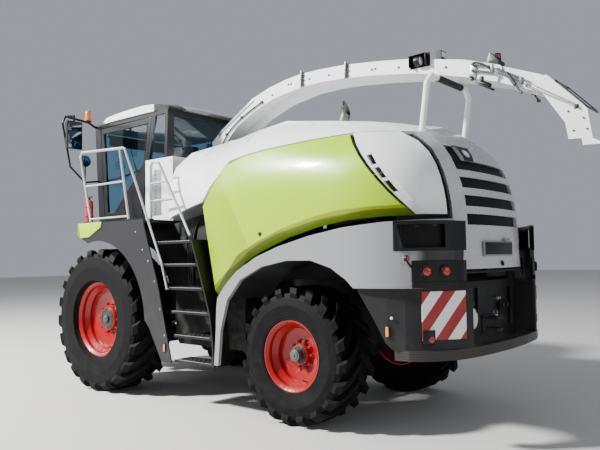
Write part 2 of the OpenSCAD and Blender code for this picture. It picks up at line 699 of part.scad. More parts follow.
module rear_fenders() {
    color("#a9adb0")
        both_sides() {
            difference() {
                intersection() {
                    translate([0, 1500, 0]) rotate([90, 0, 0]) linear_extrude(height = 900) fender_shape();
                    linear_extrude(height = 2100) fender_band(fender_half_w, fender_tail_x, fender_t);
                }
                corner_window();
                translate([0, 0, lamp_z[0] - seat_gap]) linear_extrude(height = lamp_z[1] - lamp_z[0] + 2 * seat_gap)
                    lamp_band(seat_gap, 40, lamp_depth + seat_gap);
            }
            wheel_liner();
            fender_shelf();
        }
}

module fender_band(w, xt, t) {
    outer = fender_plan(w, xt, 0, 10);
    inner = fender_plan(w, xt, t, 10);
    polygon(concat([[arch_low_x - 80, w - t], [arch_low_x - 80, w]],
        [for (p = outer) if (p[1] > 830) p], [for (i = [len(inner) - 1 : -1 : 0]) if (inner[i][1] > 830) inner[i]]));
}

window_x = [2300, 2545];
window_z = [1752, 1958];
module corner_window() {
    translate([0, 1500, 0]) rotate([90, 0, 0]) linear_extrude(height = 900)
        polygon([[window_x[0] + 40, window_z[0]], [window_x[1] + 60, window_z[0]], [window_x[1] + 60, window_z[1]],
            [window_x[0], window_z[1]]]);
}

liner_t = 14;
module wheel_liner() {
    upper = [for (i = [2 : len(arch_outline) - 1]) arch_outline[i]];
    band = shifted(upper, -liner_t);
    side_plate(concat(upper, [for (i = [len(band) - 1 : -1 : 0]) band[i]]), 770, fender_half_w - fender_t + 1);
}

// Dark shelf between the mudguard's top edge and the shell
shelf_drop = 45;
module fender_shelf() {
    top = [for (q = fender_top) [q[0], q[1] - shelf_drop]];
    low = [for (i = [len(top) - 1 : -1 : 0]) [top[i][0], top[i][1] - 12]];
    edge = [for (q = fender_plan(fender_half_w, fender_tail_x, fender_t - 1, 10)) if (q[1] > 860) q];
    intersection() {
        side_plate(concat(top, low), 830, fender_half_w - fender_t + 1);
        linear_extrude(height = 2100)
            polygon(concat([[100, 1150], [100, fender_half_w - fender_t + 1]], edge, [[2480, 860], [2300, 1000], [2100, 1150]]));
    }
}

// Lower skirts round the rear corners and the bumper lip
skirt_plan = [[1880, 1408], [2180, 1330], [2330, 1272], [2448, 1196], [2698, 850], [2722, 760]];
module rear_skirts() {
    color("#3c3e42") {
        both_sides()
            intersection() {
                translate([0, 0, skirt_low_z - 1]) linear_extrude(height = skirt_top_z - skirt_low_z + 1) skirt_band(skirt_plan, fender_t);
                translate([0, 1500, 0]) rotate([90, 0, 0]) linear_extrude(height = 1000)
                    polygon([[1905, skirt_top_z], [2062, 1120], [2165, 918], [2225, skirt_low_z - 1], [2800, skirt_low_z - 1],
                        [2800, skirt_top_z]]);
            }
        both_sides() block([wall_x + seat_gap, 745, skirt_low_z - 1], [2712, 765, skirt_top_z]);
        translate([0, 0, skirt_low_z - 92]) linear_extrude(height = 92) lip_shape();
    }
}

function shifted(plan, t) =
    [for (i = [0 : len(plan) - 1])
        let (a = plan[max(0, i - 1)], b = plan[min(len(plan) - 1, i + 1)], d = b - a)
        plan[i] + t * [d[1], -d[0]] / norm(d)];
module skirt_band(plan, t) {
    inner = shifted(plan, t);
    polygon(concat(plan, [for (i = [len(inner) - 1 : -1 : 0]) inner[i]]));
}

lip_plan = [[2225, 1290], [2360, 1272], [2470, 1215], [2570, 1110], [2665, 960], [2722, 760], [2760, 420], [2778, 0]];
module lip_shape() {
    inner = shifted(lip_plan, 110);
    mirrored = [for (i = [len(lip_plan) - 2 : -1 : 0]) [lip_plan[i][0], -lip_plan[i][1]]];
    inner_mirrored = [for (i = [0 : len(inner) - 2]) [inner[i][0], -inner[i][1]]];
    polygon(concat(lip_plan, mirrored, inner_mirrored, [for (i = [len(inner) - 1 : -1 : 0]) inner[i]]));
}

// Rear centre: back wall, hitch jaw, dark band under the tailgate
wall_x = 2500;
module hitch_frame() {
    color("#26282b") {
        difference() {
            block([wall_x - 30, -772, skirt_low_z - 60], [wall_x, 772, 1530]);
            block([wall_x - 40, -600, 1425], [wall_x + 10, 600, 1505]);
        }
        both_sides()
            block([frame_rear_x + seat_gap, rear_rail_y[0], rail_z[0]], [wall_x - 29, rear_rail_y[1], rail_z[1] - 60]);
        hitch_jaw();
        block([wall_x - 1, -700, 1508], [2600, 700, 1530]);
    }
}

hitch_pin_r = 19;
hitch_z = 1000;
module hitch_jaw() {
    block([wall_x - 1, -120, hitch_z - 90], [wall_x + 25, 120, hitch_z + 90]);
    difference() {
        union() {
            for (z = [hitch_z - 70, hitch_z + 42])
                block([wall_x + 24, -70, z], [wall_x + 150, 70, z + 28]);
        }
        translate([wall_x + 100, 0, hitch_z - 80]) cylinder(r = hitch_pin_r, h = 170);
    }
}

// Lamps: two round lamps a side on a dark box, side markers
module rear_lamps() {
    color("#1c1d1f")
        both_sides()
            lamp_box();
}

lamp_x = [2405, 2460, 2515, 2570, 2620, 2660, 2690];
lamp_z = [1452, 1640];
lamp_proud = 8;
lamp_depth = 60;
module lamp_band(grow, out, back) {
    xs = concat([lamp_x[0] - grow], [for (i = [1 : len(lamp_x) - 2]) lamp_x[i]], [lamp_x[len(lamp_x) - 1] + grow]);
    polygon(concat([for (x = xs) [x, fender_y(x) + out]], [for (i = [len(xs) - 1 : -1 : 0]) [xs[i], fender_y(xs[i]) - back]]));
}

module lamp_box() {
    translate([0, 0, lamp_z[0]]) linear_extrude(height = lamp_z[1] - lamp_z[0]) lamp_band(0, lamp_proud, lamp_depth);
    for (x = [2500, 2606]) {
        d = fender_y(x + 10) - fender_y(x - 10);
        translate([x, fender_y(x) + lamp_proud, (lamp_z[0] + lamp_z[1]) / 2]) rotate([0, 0, atan2(20, -d)])
            rotate([0, 90, 0]) translate([0, 0, -20]) cylinder(r = 46, h = 34);
    }
}

board_w = 423;
module warning_boards() {
    color("#e8e8e8") {
        both_sides() {
            a = skirt_plan[3];
            b = skirt_plan[4];
            along = (b - a) / norm(b - a);
            out = [-along[1], along[0]];
            translate([a[0] + out[0] * seat_gap, a[1] + out[1] * seat_gap, 948]) rotate([0, 0, atan2(along[1], along[0])])
                cube([board_w, 8, board_w]);
        }
        translate([wall_x + seat_gap, -300, 1065]) rotate([0, 90, 0]) cylinder(r = 100, h = 6);
    }
}

// Spout rest behind the hood's rear edge
rest_x = 2100;
rest_half_w = 470;
rest_r = 32;
rest_foot_z = 2900;
rest_top_z = 3498;
module spout_rest() {
    color("#e9ebea") rest_hoop(rest_r, rest_foot_z);
}

module rest_hoop(r, foot) {
    tube([[rest_x - 13, -rest_half_w, foot], [rest_x + 60, -rest_half_w, rest_top_z - 90],
        [rest_x + 66, -rest_half_w + 90, rest_top_z], [rest_x + 66, rest_half_w - 90, rest_top_z],
        [rest_x + 60, rest_half_w, rest_top_z - 90], [rest_x - 13, rest_half_w, foot]], r);
}

// Exhaust stack leaning to the rear
exhaust_x = 640;
exhaust_y = 230;
exhaust_r = 62;
exhaust_lean = 14;
module exhaust() {
    color("#8d8f92")
        translate([exhaust_x - 55, exhaust_y, 3190]) rotate([0, exhaust_lean, 0])
            difference() {
                translate([0, 0, -40]) cylinder(r = exhaust_r, h = 470);
                translate([0, 0, -41]) cylinder(r = exhaust_r - 8, h = 500);
                translate([0, 0, 330]) rotate([0, 55, 0]) translate([-300, -100, 0]) cube([600, 200, 400]);
            }
}

// Spout: turret box on the slewing ring
turret_half_w = spout_half_w - spout_plate - swing_gap;
ring_top_z = duct_top_z + 75;
turret_top_z = 3252;
module spout_turret() {
    color("#e9ebea") {
        difference() {
            union() {
                translate([turret_x, 0, duct_top_z + 69 + seat_gap]) cylinder(r = turret_r, h = 40, $fn = 96);
                side_plate([[turret_x - 330, ring_top_z], [turret_x + 330, ring_top_z], [turret_x + 250, 3215],
                    [turret_x + 60, turret_top_z], [turret_x - 345, turret_top_z], [turret_x - 370, 3150]], -turret_half_w, turret_half_w);
            }
            side_plate([[turret_x - 290, ring_top_z - 60], [turret_x + 290, ring_top_z - 60], [turret_x + 215, turret_top_z + 10],
                [turret_x - 280, turret_top_z + 10]], -turret_half_w + spout_plate, turret_half_w - spout_plate);
            translate([turret_x, 0, duct_top_z]) cylinder(r = 180, h = 120);
        }
        for (s = [-1, 1])
            cross_cyl(spout_hinge[0], spout_hinge[1], 34, s > 0 ? turret_half_w - 1 : -spout_half_w - 12,
                s > 0 ? spout_half_w + 12 : -turret_half_w + 1);
        block([turret_x - 60, turret_half_w - 1, ring_top_z - 1], [turret_x + 330, lift_y + lift_ear_reach, ring_top_z + 40]);
        lift_pin_ears();
    }
}

lift_y = 262;
lift_low = [turret_x + 250, 3130];
lift_high = [turret_x - 10, 3480];
lift_pin_r = 16;
lift_barrel_r = 30;
lift_ear_t = 18;
lift_ear_reach = lift_barrel_r + 6 + lift_ear_t;
module lift_pin_ears() {
    for (y = [lift_y - lift_ear_reach, lift_y + lift_ear_reach - lift_ear_t])
        side_plate([[lift_low[0] - 60, ring_top_z + 20], [lift_low[0] + 60, ring_top_z + 20], [lift_low[0] + 30, lift_low[1] + 30],
            [lift_low[0] - 30, lift_low[1] + 30]], y, y + lift_ear_t);
    cross_cyl(lift_low[0], lift_low[1], lift_pin_r, lift_y - lift_ear_reach, lift_y + lift_ear_reach);
}

module spout_arch() {
    top_inner = shifted(spout_upper, spout_plate);
    inside = spout_half_w - spout_plate;
    color("#e9ebea") {
        difference() {
            side_plate(concat(spout_upper, spout_end, spout_lower, [[spout_hinge[0] + 90, 3160], [spout_hinge[0] - 60, 3160]]),
                -spout_half_w, spout_half_w);
            side_plate(concat(top_inner, [[2900, 3200], [400, 3500], [-985, 3000], [-1320, 3000], [-1320, 3200]]),
                -inside, inside);
            block([flap_pin[0] - 25, -inside, flap_pin[1] - 200], [flap_pin[0] + 60, inside, flap_pin[1] + 100]);
            cross_cyl(spout_hinge[0], spout_hinge[1], 34 + pin_gap, -spout_half_w - 20, spout_half_w + 20);
        }
        cross_cyl(lift_high[0], lift_high[1], lift_pin_r, spout_half_w - 1, lift_y + 40);
        both_sides() cross_cyl(flap_pin[0], flap_pin[1], flap_pin_r, flap_half_w - 14, inside + 1);
    }
}

module ram_eye(at, bore_r, y) {
    difference() {
        cross_cyl(at[0], at[1], bore_r + 14, y - eye_half_w, y + eye_half_w);
        cross_cyl(at[0], at[1], bore_r, y - eye_half_w - 1, y + eye_half_w + 1);
    }
}

// Cylinder between two pins in an X-Z plane: barrel at the first, rod at the second.
// The rod's eye has play for the arc that its pin swings through.
eye_half_w = 18;
eye_play = 8;
module ram_barrel(a, b, y, pin, r, l) {
    d = (b - a) / norm(b - a);
    turn = 90 - atan2(d[1], d[0]);
    ram_eye(a, pin + pin_gap, y);
    difference() {
        translate([a[0], y, a[1]]) rotate([0, turn, 0]) translate([0, 0, pin + 8]) cylinder(r = r, h = l - pin - 8);
        translate([a[0], y, a[1]]) rotate([0, turn, 0]) translate([0, 0, 60]) cylinder(r = r * 0.55 + pin_gap, h = l);
    }
}

module ram_rod(a, b, y, pin, r, from) {
    d = (b - a) / norm(b - a);
    turn = 90 - atan2(d[1], d[0]);
    ram_eye(b, pin + eye_play, y);
    translate([a[0], y, a[1]]) rotate([0, turn, 0]) translate([0, 0, from]) cylinder(r = r, h = norm(b - a) - from - pin - eye_play - 4);
}

lift_barrel_l = 300;
module lift_barrel() {
    color("#2b2d30") ram_barrel(lift_low, lift_high, lift_y, lift_pin_r, lift_barrel_r, lift_barrel_l);
}

module lift_rod() {
    color("#c9ccd0") ram_rod(lift_low, lift_high, lift_y, lift_pin_r, lift_barrel_r * 0.55, 70);
}

// Two deflector sections at the end of the spout
flap_half_w = spout_half_w - spout_plate - swing_gap;
tip_half_w = spout_half_w;
deflector_t = 10;
flap_side = [[2788, 3513], [3202, 3343], [3215, 3318], [3238, 3311], [3248, 3296], [3244, 3270], [3180, 3180],
    [2785, 3350], [2748, 3400], [2752, 3470]];
flap_hollow = [[2700, 3538], [3260, 3308], [3290, 3200], [3200, 3100], [2700, 3300]];
tip_side = [[3245, 3331], [3279, 3297], [3590, 2966], [3628, 2700], [3424, 2708], [3400, 2860], [3190, 3190], [3185, 3290],
    [3205, 3325]];
tip_hollow = [[3134, 3436], [3272, 3290], [3580, 2962], [3618, 2690], [3616, 2650], [3400, 2600], [3100, 3100], [3100, 3300]];
module deflector(outline, hollow, half_w) {
    difference() {
        side_plate(outline, -half_w, half_w);
        side_plate(hollow, -half_w + deflector_t, half_w - deflector_t);
    }
}

module spout_flap() {
    color("#e9ebea") {
        difference() {
            deflector(flap_side, flap_hollow, flap_half_w);
            cross_cyl(flap_pin[0], flap_pin[1], flap_pin_r + pin_gap, -spout_half_w, spout_half_w);
        }
        both_sides() cross_cyl(tip_pin[0], tip_pin[1], tip_pin_r, flap_half_w - 1, tip_half_w + 5);
    }
}

module spout_tip() {
    color("#e9ebea")
        difference() {
            deflector(tip_side, tip_hollow, tip_half_w);
            cross_cyl(tip_pin[0], tip_pin[1], tip_pin_r + pin_gap, -spout_half_w - 1, spout_half_w + 1);
        }
}

// Wedge that stands level on the sloping spout
module lamp_foot(x0, x1, half_w, top) {
    side_plate([[x0, look(spout_upper, x0) + seat_gap], [x1, look(spout_upper, x1) + seat_gap], [x1, top], [x0, top]],
        -half_w, half_w);
}

module spout_lamps() {
    color("#1c1d1f") {
        lamp_foot(2040, 2120, 70, 3765);
        block([2050, -60, 3764], [2110, 60, 3850]);
        lamp_foot(2640, 2740, 80, 3612);
        translate([2690, 0, 3611]) cylinder(r = 44, h = 80);
    }
}

// Cab: frame with window openings, panes seated in them
cab_front = [[-3030, cab_floor_z - 50], [-3145, cab_eave_z]];
cab_rear = [[-1500, cab_floor_z - 50], [-1440, cab_eave_z]];
cab_b_post = [[-2000, cab_floor_z + 20], [-1790, cab_eave_z - 60]];
door_front = [[-2895, cab_floor_z + 20], [-3000, cab_eave_z - 60]];
cab_profile = [cab_front[0], cab_front[1], cab_rear[1], cab_rear[0]];
function drawn_in(outline, t) =
    [outline[0] + [t, t], outline[1] + [t, -t], outline[2] + [-t, -t], outline[3] + [-t, t]];
door_hole = [door_front[0], door_front[1], cab_b_post[1], cab_b_post[0]];
quarter_hole = [cab_b_post[0] + [90, 560], cab_b_post[1] + [90, 0], [-1500, cab_eave_z - 60], [-1530, cab_floor_z + 580]];
right_hole = [door_front[0], door_front[1], [-1500, cab_eave_z - 60], [-1530, cab_floor_z + 20]];
rear_hole_z = [cab_floor_z + 600, cab_eave_z - 70];
module cab_frame() {
    color("#2a2c30")
        difference() {
            side_plate(cab_profile, -cab_half_w, cab_half_w);
            side_plate(drawn_in([cab_front[0] + [0, 50 - cab_wall], cab_front[1], cab_rear[1], cab_rear[0] + [0, 50 - cab_wall]], cab_wall),
                -cab_half_w + cab_wall, cab_half_w - cab_wall);
            side_plate(door_hole, -cab_half_w - 10, -cab_half_w + cab_wall + 10);
            side_plate(quarter_hole, -cab_half_w - 10, -cab_half_w + cab_wall + 10);
            side_plate(right_hole, cab_half_w - cab_wall - 10, cab_half_w + 10);
            block([-3300, -cab_half_w + 80, cab_floor_z + 60], [-2900, cab_half_w - 80, cab_eave_z - 90]);
            block([-1600, -cab_half_w + 110, rear_hole_z[0]], [-1380, cab_half_w - 110, rear_hole_z[1]]);
            block([-2900, -cab_half_w + 120, cab_eave_z - 80], [-1650, cab_half_w - 120, cab_eave_z + 10]);
        }
}

module pane(outline, y0, y1) {
    side_plate(drawn_in(outline, seat_gap), y0, y1);
}

module cab_glass() {
    inset = 14;
    color("#8fb3c4", 0.35) {
        pane(quarter_hole, -cab_half_w + inset, -cab_half_w + inset + pane_t);
        pane(right_hole, cab_half_w - inset - pane_t, cab_half_w - inset);
        intersection() {
            side_plate([cab_front[0] + [inset, 0], cab_front[1] + [inset, 0], cab_front[1] + [inset + pane_t, 0], cab_front[0] + [inset + pane_t, 0]],
                -cab_half_w, cab_half_w);
            block([-3300, -cab_half_w + 80 + seat_gap, cab_floor_z + 60 + seat_gap],
                [-2900, cab_half_w - 80 - seat_gap, cab_eave_z - 90 - seat_gap]);
        }
        intersection() {
            side_plate([cab_rear[0] - [inset, 0], cab_rear[1] - [inset, 0], cab_rear[1] - [inset + pane_t, 0], cab_rear[0] - [inset + pane_t, 0]],
                -cab_half_w, cab_half_w);
            block([-1600, -cab_half_w + 110 + seat_gap, rear_hole_z[0] + seat_gap],
                [-1380, cab_half_w - 110 - seat_gap, rear_hole_z[1] - seat_gap]);
        }
    }
}

// Door, hinged at its front edge, with a dark lower corner
door_gap = 8;
door_t = 44;
door_profile = drawn_in(door_hole, door_gap);
door_window = [door_profile[0] + [70, 90], door_profile[1] + [70, -70], door_profile[2] + [-70, -70],
    [door_profile[2][0] - 150, 2990], [door_profile[0][0] + 210, door_profile[0][1] + 90]];
module cab_door() {
    color("#2a2c30")
        difference() {
            side_plate(door_profile, -cab_half_w, -cab_half_w + door_t);
            side_plate(door_window, -cab_half_w - 10, -cab_half_w + door_t + 10);
        }
}

function toward(outline, centre, d) = [for (p = outline) p + (centre - p) * (d / norm(centre - p))];
module door_glass() {
    color("#8fb3c4", 0.35)
        side_plate(toward(door_window, [-2600, 2900], 1.6 * seat_gap), -cab_half_w + 14, -cab_half_w + 14 + pane_t);
}

// Roof: domed cap with a rounded outline
roof_x = [-3195, -1300];
roof_half_w = 872;
roof_crown = [[-3195, 3722], [-3100, 3760], [-2900, 3788], [-2400, 3822], [-1900, 3828], [-1600, 3800], [-1400, 3735], [-1300, 3690]];
roof_steps = 10;
roof_cols = 8;
function roof_edge_y(x) =
    let (s = 2 * (x - roof_x[0]) / (roof_x[1] - roof_x[0]) - 1)
    roof_half_w * pow(1 - pow(min(0.995, abs(s)), 7), 1 / 3);
function roof_grid(top) =
    [for (i = [0 : roof_steps])
        let (x = roof_x[0] + (roof_x[1] - roof_x[0]) * (1 - cos(180 * i / roof_steps)) / 2)
        let (w = roof_edge_y(x))
        [for (j = [0 : roof_cols])
            let (v = -cos(180 * j / roof_cols))
            [x, w * v, top ? look(roof_crown, x) - 52 * pow(abs(v), 4) : cab_eave_z + seat_gap]]];
module cab_roof() {
    color("#e9ebea")
        between(roof_grid(true), roof_grid(false));
}

// Inside of the cab
module operator_seat() {
    color("#2c2e33") {
        block([-2440, -230, cab_floor_z + seat_gap], [-2100, 230, cab_floor_z + 250]);
        block([-2560, -260, cab_floor_z + 249], [-2060, 260, cab_floor_z + 370]);
        side_plate([[-2180, cab_floor_z + 369], [-2060, cab_floor_z + 369], [-1950, 3230], [-2050, 3230]], -240, 240);
        block([-2620, 300, cab_floor_z + seat_gap], [-2060, 420, cab_floor_z + 560]);
        block([-2440, 229, cab_floor_z + 60], [-2100, 301, cab_floor_z + 160]);
    }
}

module steering_column() {
    color("#202225") {
        side_plate([[-2960, cab_floor_z + seat_gap], [-2800, cab_floor_z + seat_gap], [-2730, 2890], [-2800, 2900]], -50, 50);
        translate([-2755, 0, 2900]) rotate([0, -24, 0]) {
            rotate_extrude($fn = 48) translate([185, 0]) circle(r = 15);
            translate([0, 0, -20]) cylinder(r = 45, h = 30);
            for (k = [0 : 2])
                rotate([0, 0, 120 * k]) translate([0, -14, -10]) cube([180, 28, 16]);
        }
    }
}

// Mirrors on loop arms and the beacon on its bracket
mirror_arm_r = 14;
beacon_seat_z = 3713;
module mirror_unit() {
    tube([[-3030, cab_half_w + seat_gap, 2830], [-3030, cab_half_w + 32, 2830], [-2960, 1130, 2790], [-3010, 1330, 3000], [-3080, 1410, 3620],
        [-3060, 1380, 3716], [-2960, 1305, 3722], [-2960, 1305, 3620]], mirror_arm_r);
    block([-2985, 1190, 3250], [-2935, 1420, 3640]);
    tube([[-3060, 1380, 3716], [-3085, 1000, 3690], [-3100, cab_half_w + 36, 3640],
        [-3100, cab_half_w + seat_gap, 3640]], mirror_arm_r + 3);
    translate([-2968, 1130, 3095]) rotate([0, 90, 0]) cylinder(r = 82, h = 26);
    tube_leg([-2960, 1130, 2790], [-2955, 1130, 3060], mirror_arm_r - 5);
}

module mirrors() {
    color("#1c1d1f") {
        both_sides() mirror_unit();
        block([-3120, -1040, 3698], [-3050, -970, beacon_seat_z]);
    }
}

module beacon() {
    color("#e8651c") translate([-3085, -1005, beacon_seat_z + seat_gap]) {
        cylinder(r = 46, h = 30);
        translate([0, 0, 29]) cylinder(r = 40, h = 90);
        translate([0, 0, 118]) sphere(r = 40, $fn = 32);
    }
}

// Platform, front mudguards and the ladder
platform_z = 2170;
side_y = 1440;
front_arch_r = front_tyre_r + 62;
platform_x = [-2590, -1190];
module platform() {
    color("#46484d")
        both_sides() {
            block([platform_x[0], cab_half_w - 90, platform_z - 40], [platform_x[1], side_y, platform_z]);
            for (x = stand_post_x)
                block([x, front_rail_y[1] + seat_gap, platform_z - 120], [x + 110, side_y - 30, platform_z - 39]);
            difference() {
                side_plate([[platform_x[0], platform_z - 1], [platform_x[0] + 20, 1985], [-2430, 1930], [-1400, 1200], [-1075, 880],
                    [-835, 495], [-655, 495], [-905, 1392], [-1175, 2100], [-1190, platform_z - 1]], side_y - 16, side_y);
                cross_cyl(front_axle_x, front_tyre_r, front_arch_r + 40, side_y - 30, side_y + 10);
            }
        }
}

step_z = [535, 815, 1085, 1355, 1625, 1890];
function ladder_x(z) = look([[495, -650], [799, -668], [1073, -712], [1392, -820], [1890, -1000], [2170, -1180]], z);
ladder_w = 640;
step_outer_y = -side_y + 46;
step_inner_y = -side_y + 290;
module ladder() {
    color("#26282b") {
        for (z = step_z)
            block([ladder_x(z) + 4, step_outer_y, z - 28], [ladder_x(z) + ladder_w, step_inner_y, z]);
        ladder_side();
        for (z = [step_z[1], step_z[2]])
            block([-520, step_inner_y - 1, z - 26], [-440, -tank_y[1] - seat_gap, z - 2]);
    }
}

module ladder_side() {
    low = [for (z = [500, 800, 1073, 1392, 1900]) [ladder_x(z) + ladder_w - 2, z]];
    high = [for (z = [1900, 1392, 1073, 800, 500]) [ladder_x(z) + ladder_w + 22, z]];
    side_plate(concat(low, high), step_outer_y, step_inner_y);
}

rail_y = side_y - 24;
module handrails() {
    color("#e9ebea") {
        rail_loop();
        mirror([0, 1, 0]) rail_loop();
        ladder_rail();
    }
}

bar_r = rail_r - 3;
foot_z = platform_z + seat_gap;
rail_foot = 26;
module rail_loop() {
    y = -rail_y;
    tube([[-2350, y, foot_z], [-2350, y, foot_z + rail_foot], [-2600, y, 3080], [-2560, y, 3140], [-1620, y, 3092]], rail_r);
    tube([[-1700, y, 3096], [-1510, y, foot_z + rail_foot], [-1510, y, foot_z]], bar_r);
    tube_leg([-2486, y, 2670], [-1612, y, 2670], bar_r - 1);
    tube_leg([-2362, y, 2225], [-1520, y, 2225], bar_r - 1);
}

module ladder_rail() {
    y = -rail_y;
    tube([[-1640, y, 3093], [-1590, y, 3080], [-860, y, 1650], [-760, y, 1341], [-760, step_outer_y - seat_gap, 1341]], rail_r - 3);
    tube([[-1250, -1270, foot_z], [-1250, -1270, 2840], [-1210, -1270, 2890], [-1090, -1270, 2860],
        [-520, -1270, 1960], [-540, -1270, 1925], [-540, -1270, step_z[5] + seat_gap]], rail_r);
    tube_leg([-1250, -1270, 2620], [-938, -1270, 2620], bar_r);
    tube_leg([-1250, -1270, 2400], [-799, -1270, 2400], bar_r);
}

// Feed housing on the drum axis with the frame that carries a header
head_x = [-3590, -3490];
head_half_w = 760;
head_z = [560, 1500];
feed_wall = 20;
module feed_housing() {
    inner = feed_half_w;
    outer = feed_half_w + feed_wall;
    color("#46484d") {
        both_sides()
            difference() {
                side_plate([[head_x[1] - 1, 640], [-2900, 700], [-2560, 860], [-2440, 1060], [-2560, 1330], [-2900, 1420], [head_x[1] - 1, 1380]],
                    inner, outer);
                cross_cyl(drum_axis[0], drum_axis[1], drum_r + swing_gap, inner - 10, outer + 10);
                cross_cyl(upper_axis[0], upper_axis[1], roller_pin_r + pin_gap, inner - 10, outer + 10);
                cross_cyl(lower_axis[0], lower_axis[1], roller_pin_r + pin_gap, inner - 10, outer + 10);
            }
        block([head_x[1] - 1, -outer, 1340], [-2760, outer, 1360]);
        block([head_x[1] - 1, -outer, 648], [-3250, outer, 668]);
        head_frame();
        both_sides() {
            feeder_ear();
            feeder_arm();
        }
    }
}

upper_axis = [-3090, 1160];
lower_axis = [-3090, 830];
roller_pin_r = 30;
head_hole_r = 13;
head_hole_y = 715;
head_hole_z = [615, 1445];
module head_frame() {
    difference() {
        block([head_x[0], -head_half_w, head_z[0]], [head_x[1], head_half_w, head_z[1]]);
        block([head_x[0] - 1, -feed_half_w, 690], [head_x[1] + 1, feed_half_w, 1330]);
        both_sides()
            block([head_x[0] - 1, feed_half_w + 90, head_z[0] + 110], [head_x[1] + 1, head_half_w - 90, head_z[1] - 110]);
        both_sides()
            for (z = head_hole_z)
                translate([head_x[0] - 1, head_hole_y, z]) rotate([0, 90, 0]) cylinder(r = head_hole_r, h = 102);
    }
    both_sides()
        side_plate([[head_x[0] + 1, head_z[1] - 1], [head_x[1] - 1, head_z[1] - 1], [head_x[1] - 1, head_z[1] + 60],
            [head_x[0] + 40, head_z[1] + 60], [head_x[0] + 40, head_z[1] + 25], [head_x[0] + 1, head_z[1] + 25]],
            head_half_w - 130, head_half_w - 60);
}

// Arm outside the drum housing, turning on its trunnion
arm_y_span = [drum_half_w + swing_gap, drum_half_w + swing_gap + 32];
module feeder_arm() {
    difference() {
        union() {
            cross_cyl(drum_axis[0], drum_axis[1], trunnion_r + 40, arm_y_span[0], arm_y_span[1]);
            side_plate([[drum_axis[0], drum_axis[1] - 90], [drum_axis[0], drum_axis[1] + 90], [-2720, 1330], [-2880, 1330],
                [-2880, 900], [-2720, 900]], arm_y_span[0], arm_y_span[1]);
        }
        cross_cyl(drum_axis[0], drum_axis[1], trunnion_r + pin_gap, arm_y_span[0] - 1, arm_y_span[1] + 1);
    }
    block([-2880, feed_half_w + feed_wall - 1, 940], [-2720, arm_y_span[0] + 1, 1290]);
}

ear_gap = 24;
module feeder_ear() {
    for (y = [feeder_cyl_y - 42, feeder_cyl_y + ear_gap])
        side_plate([[-3100, 712], [-2900, 742], [-2960, 620], [-3060, 620]], y, y + 18);
    side_plate([[-3100, 702], [-2900, 732], [-2900, 772], [-3100, 742]], feed_half_w + feed_wall - 1, feeder_cyl_y + 42);
    cross_cyl(feeder_eye[0], feeder_eye[1], cyl_pin_r, feeder_cyl_y - 42, feeder_cyl_y + 42);
}

module feed_roller(axis) {
    cross_cyl(axis[0], axis[1], roller_r - 26, -feed_half_w + 10, feed_half_w - 10);
    cross_cyl(axis[0], axis[1], roller_pin_r, -feed_half_w - feed_wall, feed_half_w + feed_wall);
    for (k = [0 : 7])
        translate([axis[0], 0, axis[1]]) rotate([0, k * 45, 0])
            translate([roller_r - 30, -feed_half_w + 12, -6]) cube([30, 2 * feed_half_w - 24, 12]);
}

module upper_roller() {
    color("#9a9da1") feed_roller(upper_axis);
}

module lower_roller() {
    color("#9a9da1") feed_roller(lower_axis);
}

feeder_barrel_l = 400;
module feeder_barrels() {
    color("#2b2d30") both_sides()
        ram_barrel(feeder_low, feeder_eye, feeder_cyl_y, cyl_pin_r, feeder_barrel_r, feeder_barrel_l);
}

module feeder_rods() {
    color("#c9ccd0") both_sides()
        ram_rod(feeder_low, feeder_eye, feeder_cyl_y, cyl_pin_r, feeder_barrel_r * 0.55, 150);
}

chassis();
front_axle();
rear_axle();
knuckle_left();
knuckle_right();
tie_rod();
rim_front_left();
rim_front_right();
rim_rear_left();
rim_rear_right();
tyre_front_left();
tyre_front_right();
tyre_rear_left();
tyre_rear_right();
engine_block();
side_tanks();
crop_duct();
hood();
cab_cover();
corner_panels();
side_door_left();
side_door_right();
tailgate();
tailgate_grille();
rear_fenders();
rear_skirts();
rear_lamps();
warning_boards();
hitch_frame();
spout_rest();
exhaust();
spout_turret();
spout_arch();
spout_flap();
spout_tip();
lift_barrel();
lift_rod();
spout_lamps();
cab_frame();
cab_roof();
cab_glass();
cab_door();
door_glass();
operator_seat();
steering_column();
mirrors();
beacon();
platform();
ladder();
handrails();
feed_housing();
upper_roller();
lower_roller();
feeder_barrels();
feeder_rods();
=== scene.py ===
"""Looks of a self-propelled forage harvester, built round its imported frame."""

import json
import logging
import math
from collections.abc import Sequence
from dataclasses import dataclass
from enum import Enum

import bmesh
import bpy
from mathutils import Matrix, Vector
from mathutils.bvhtree import BVHTree

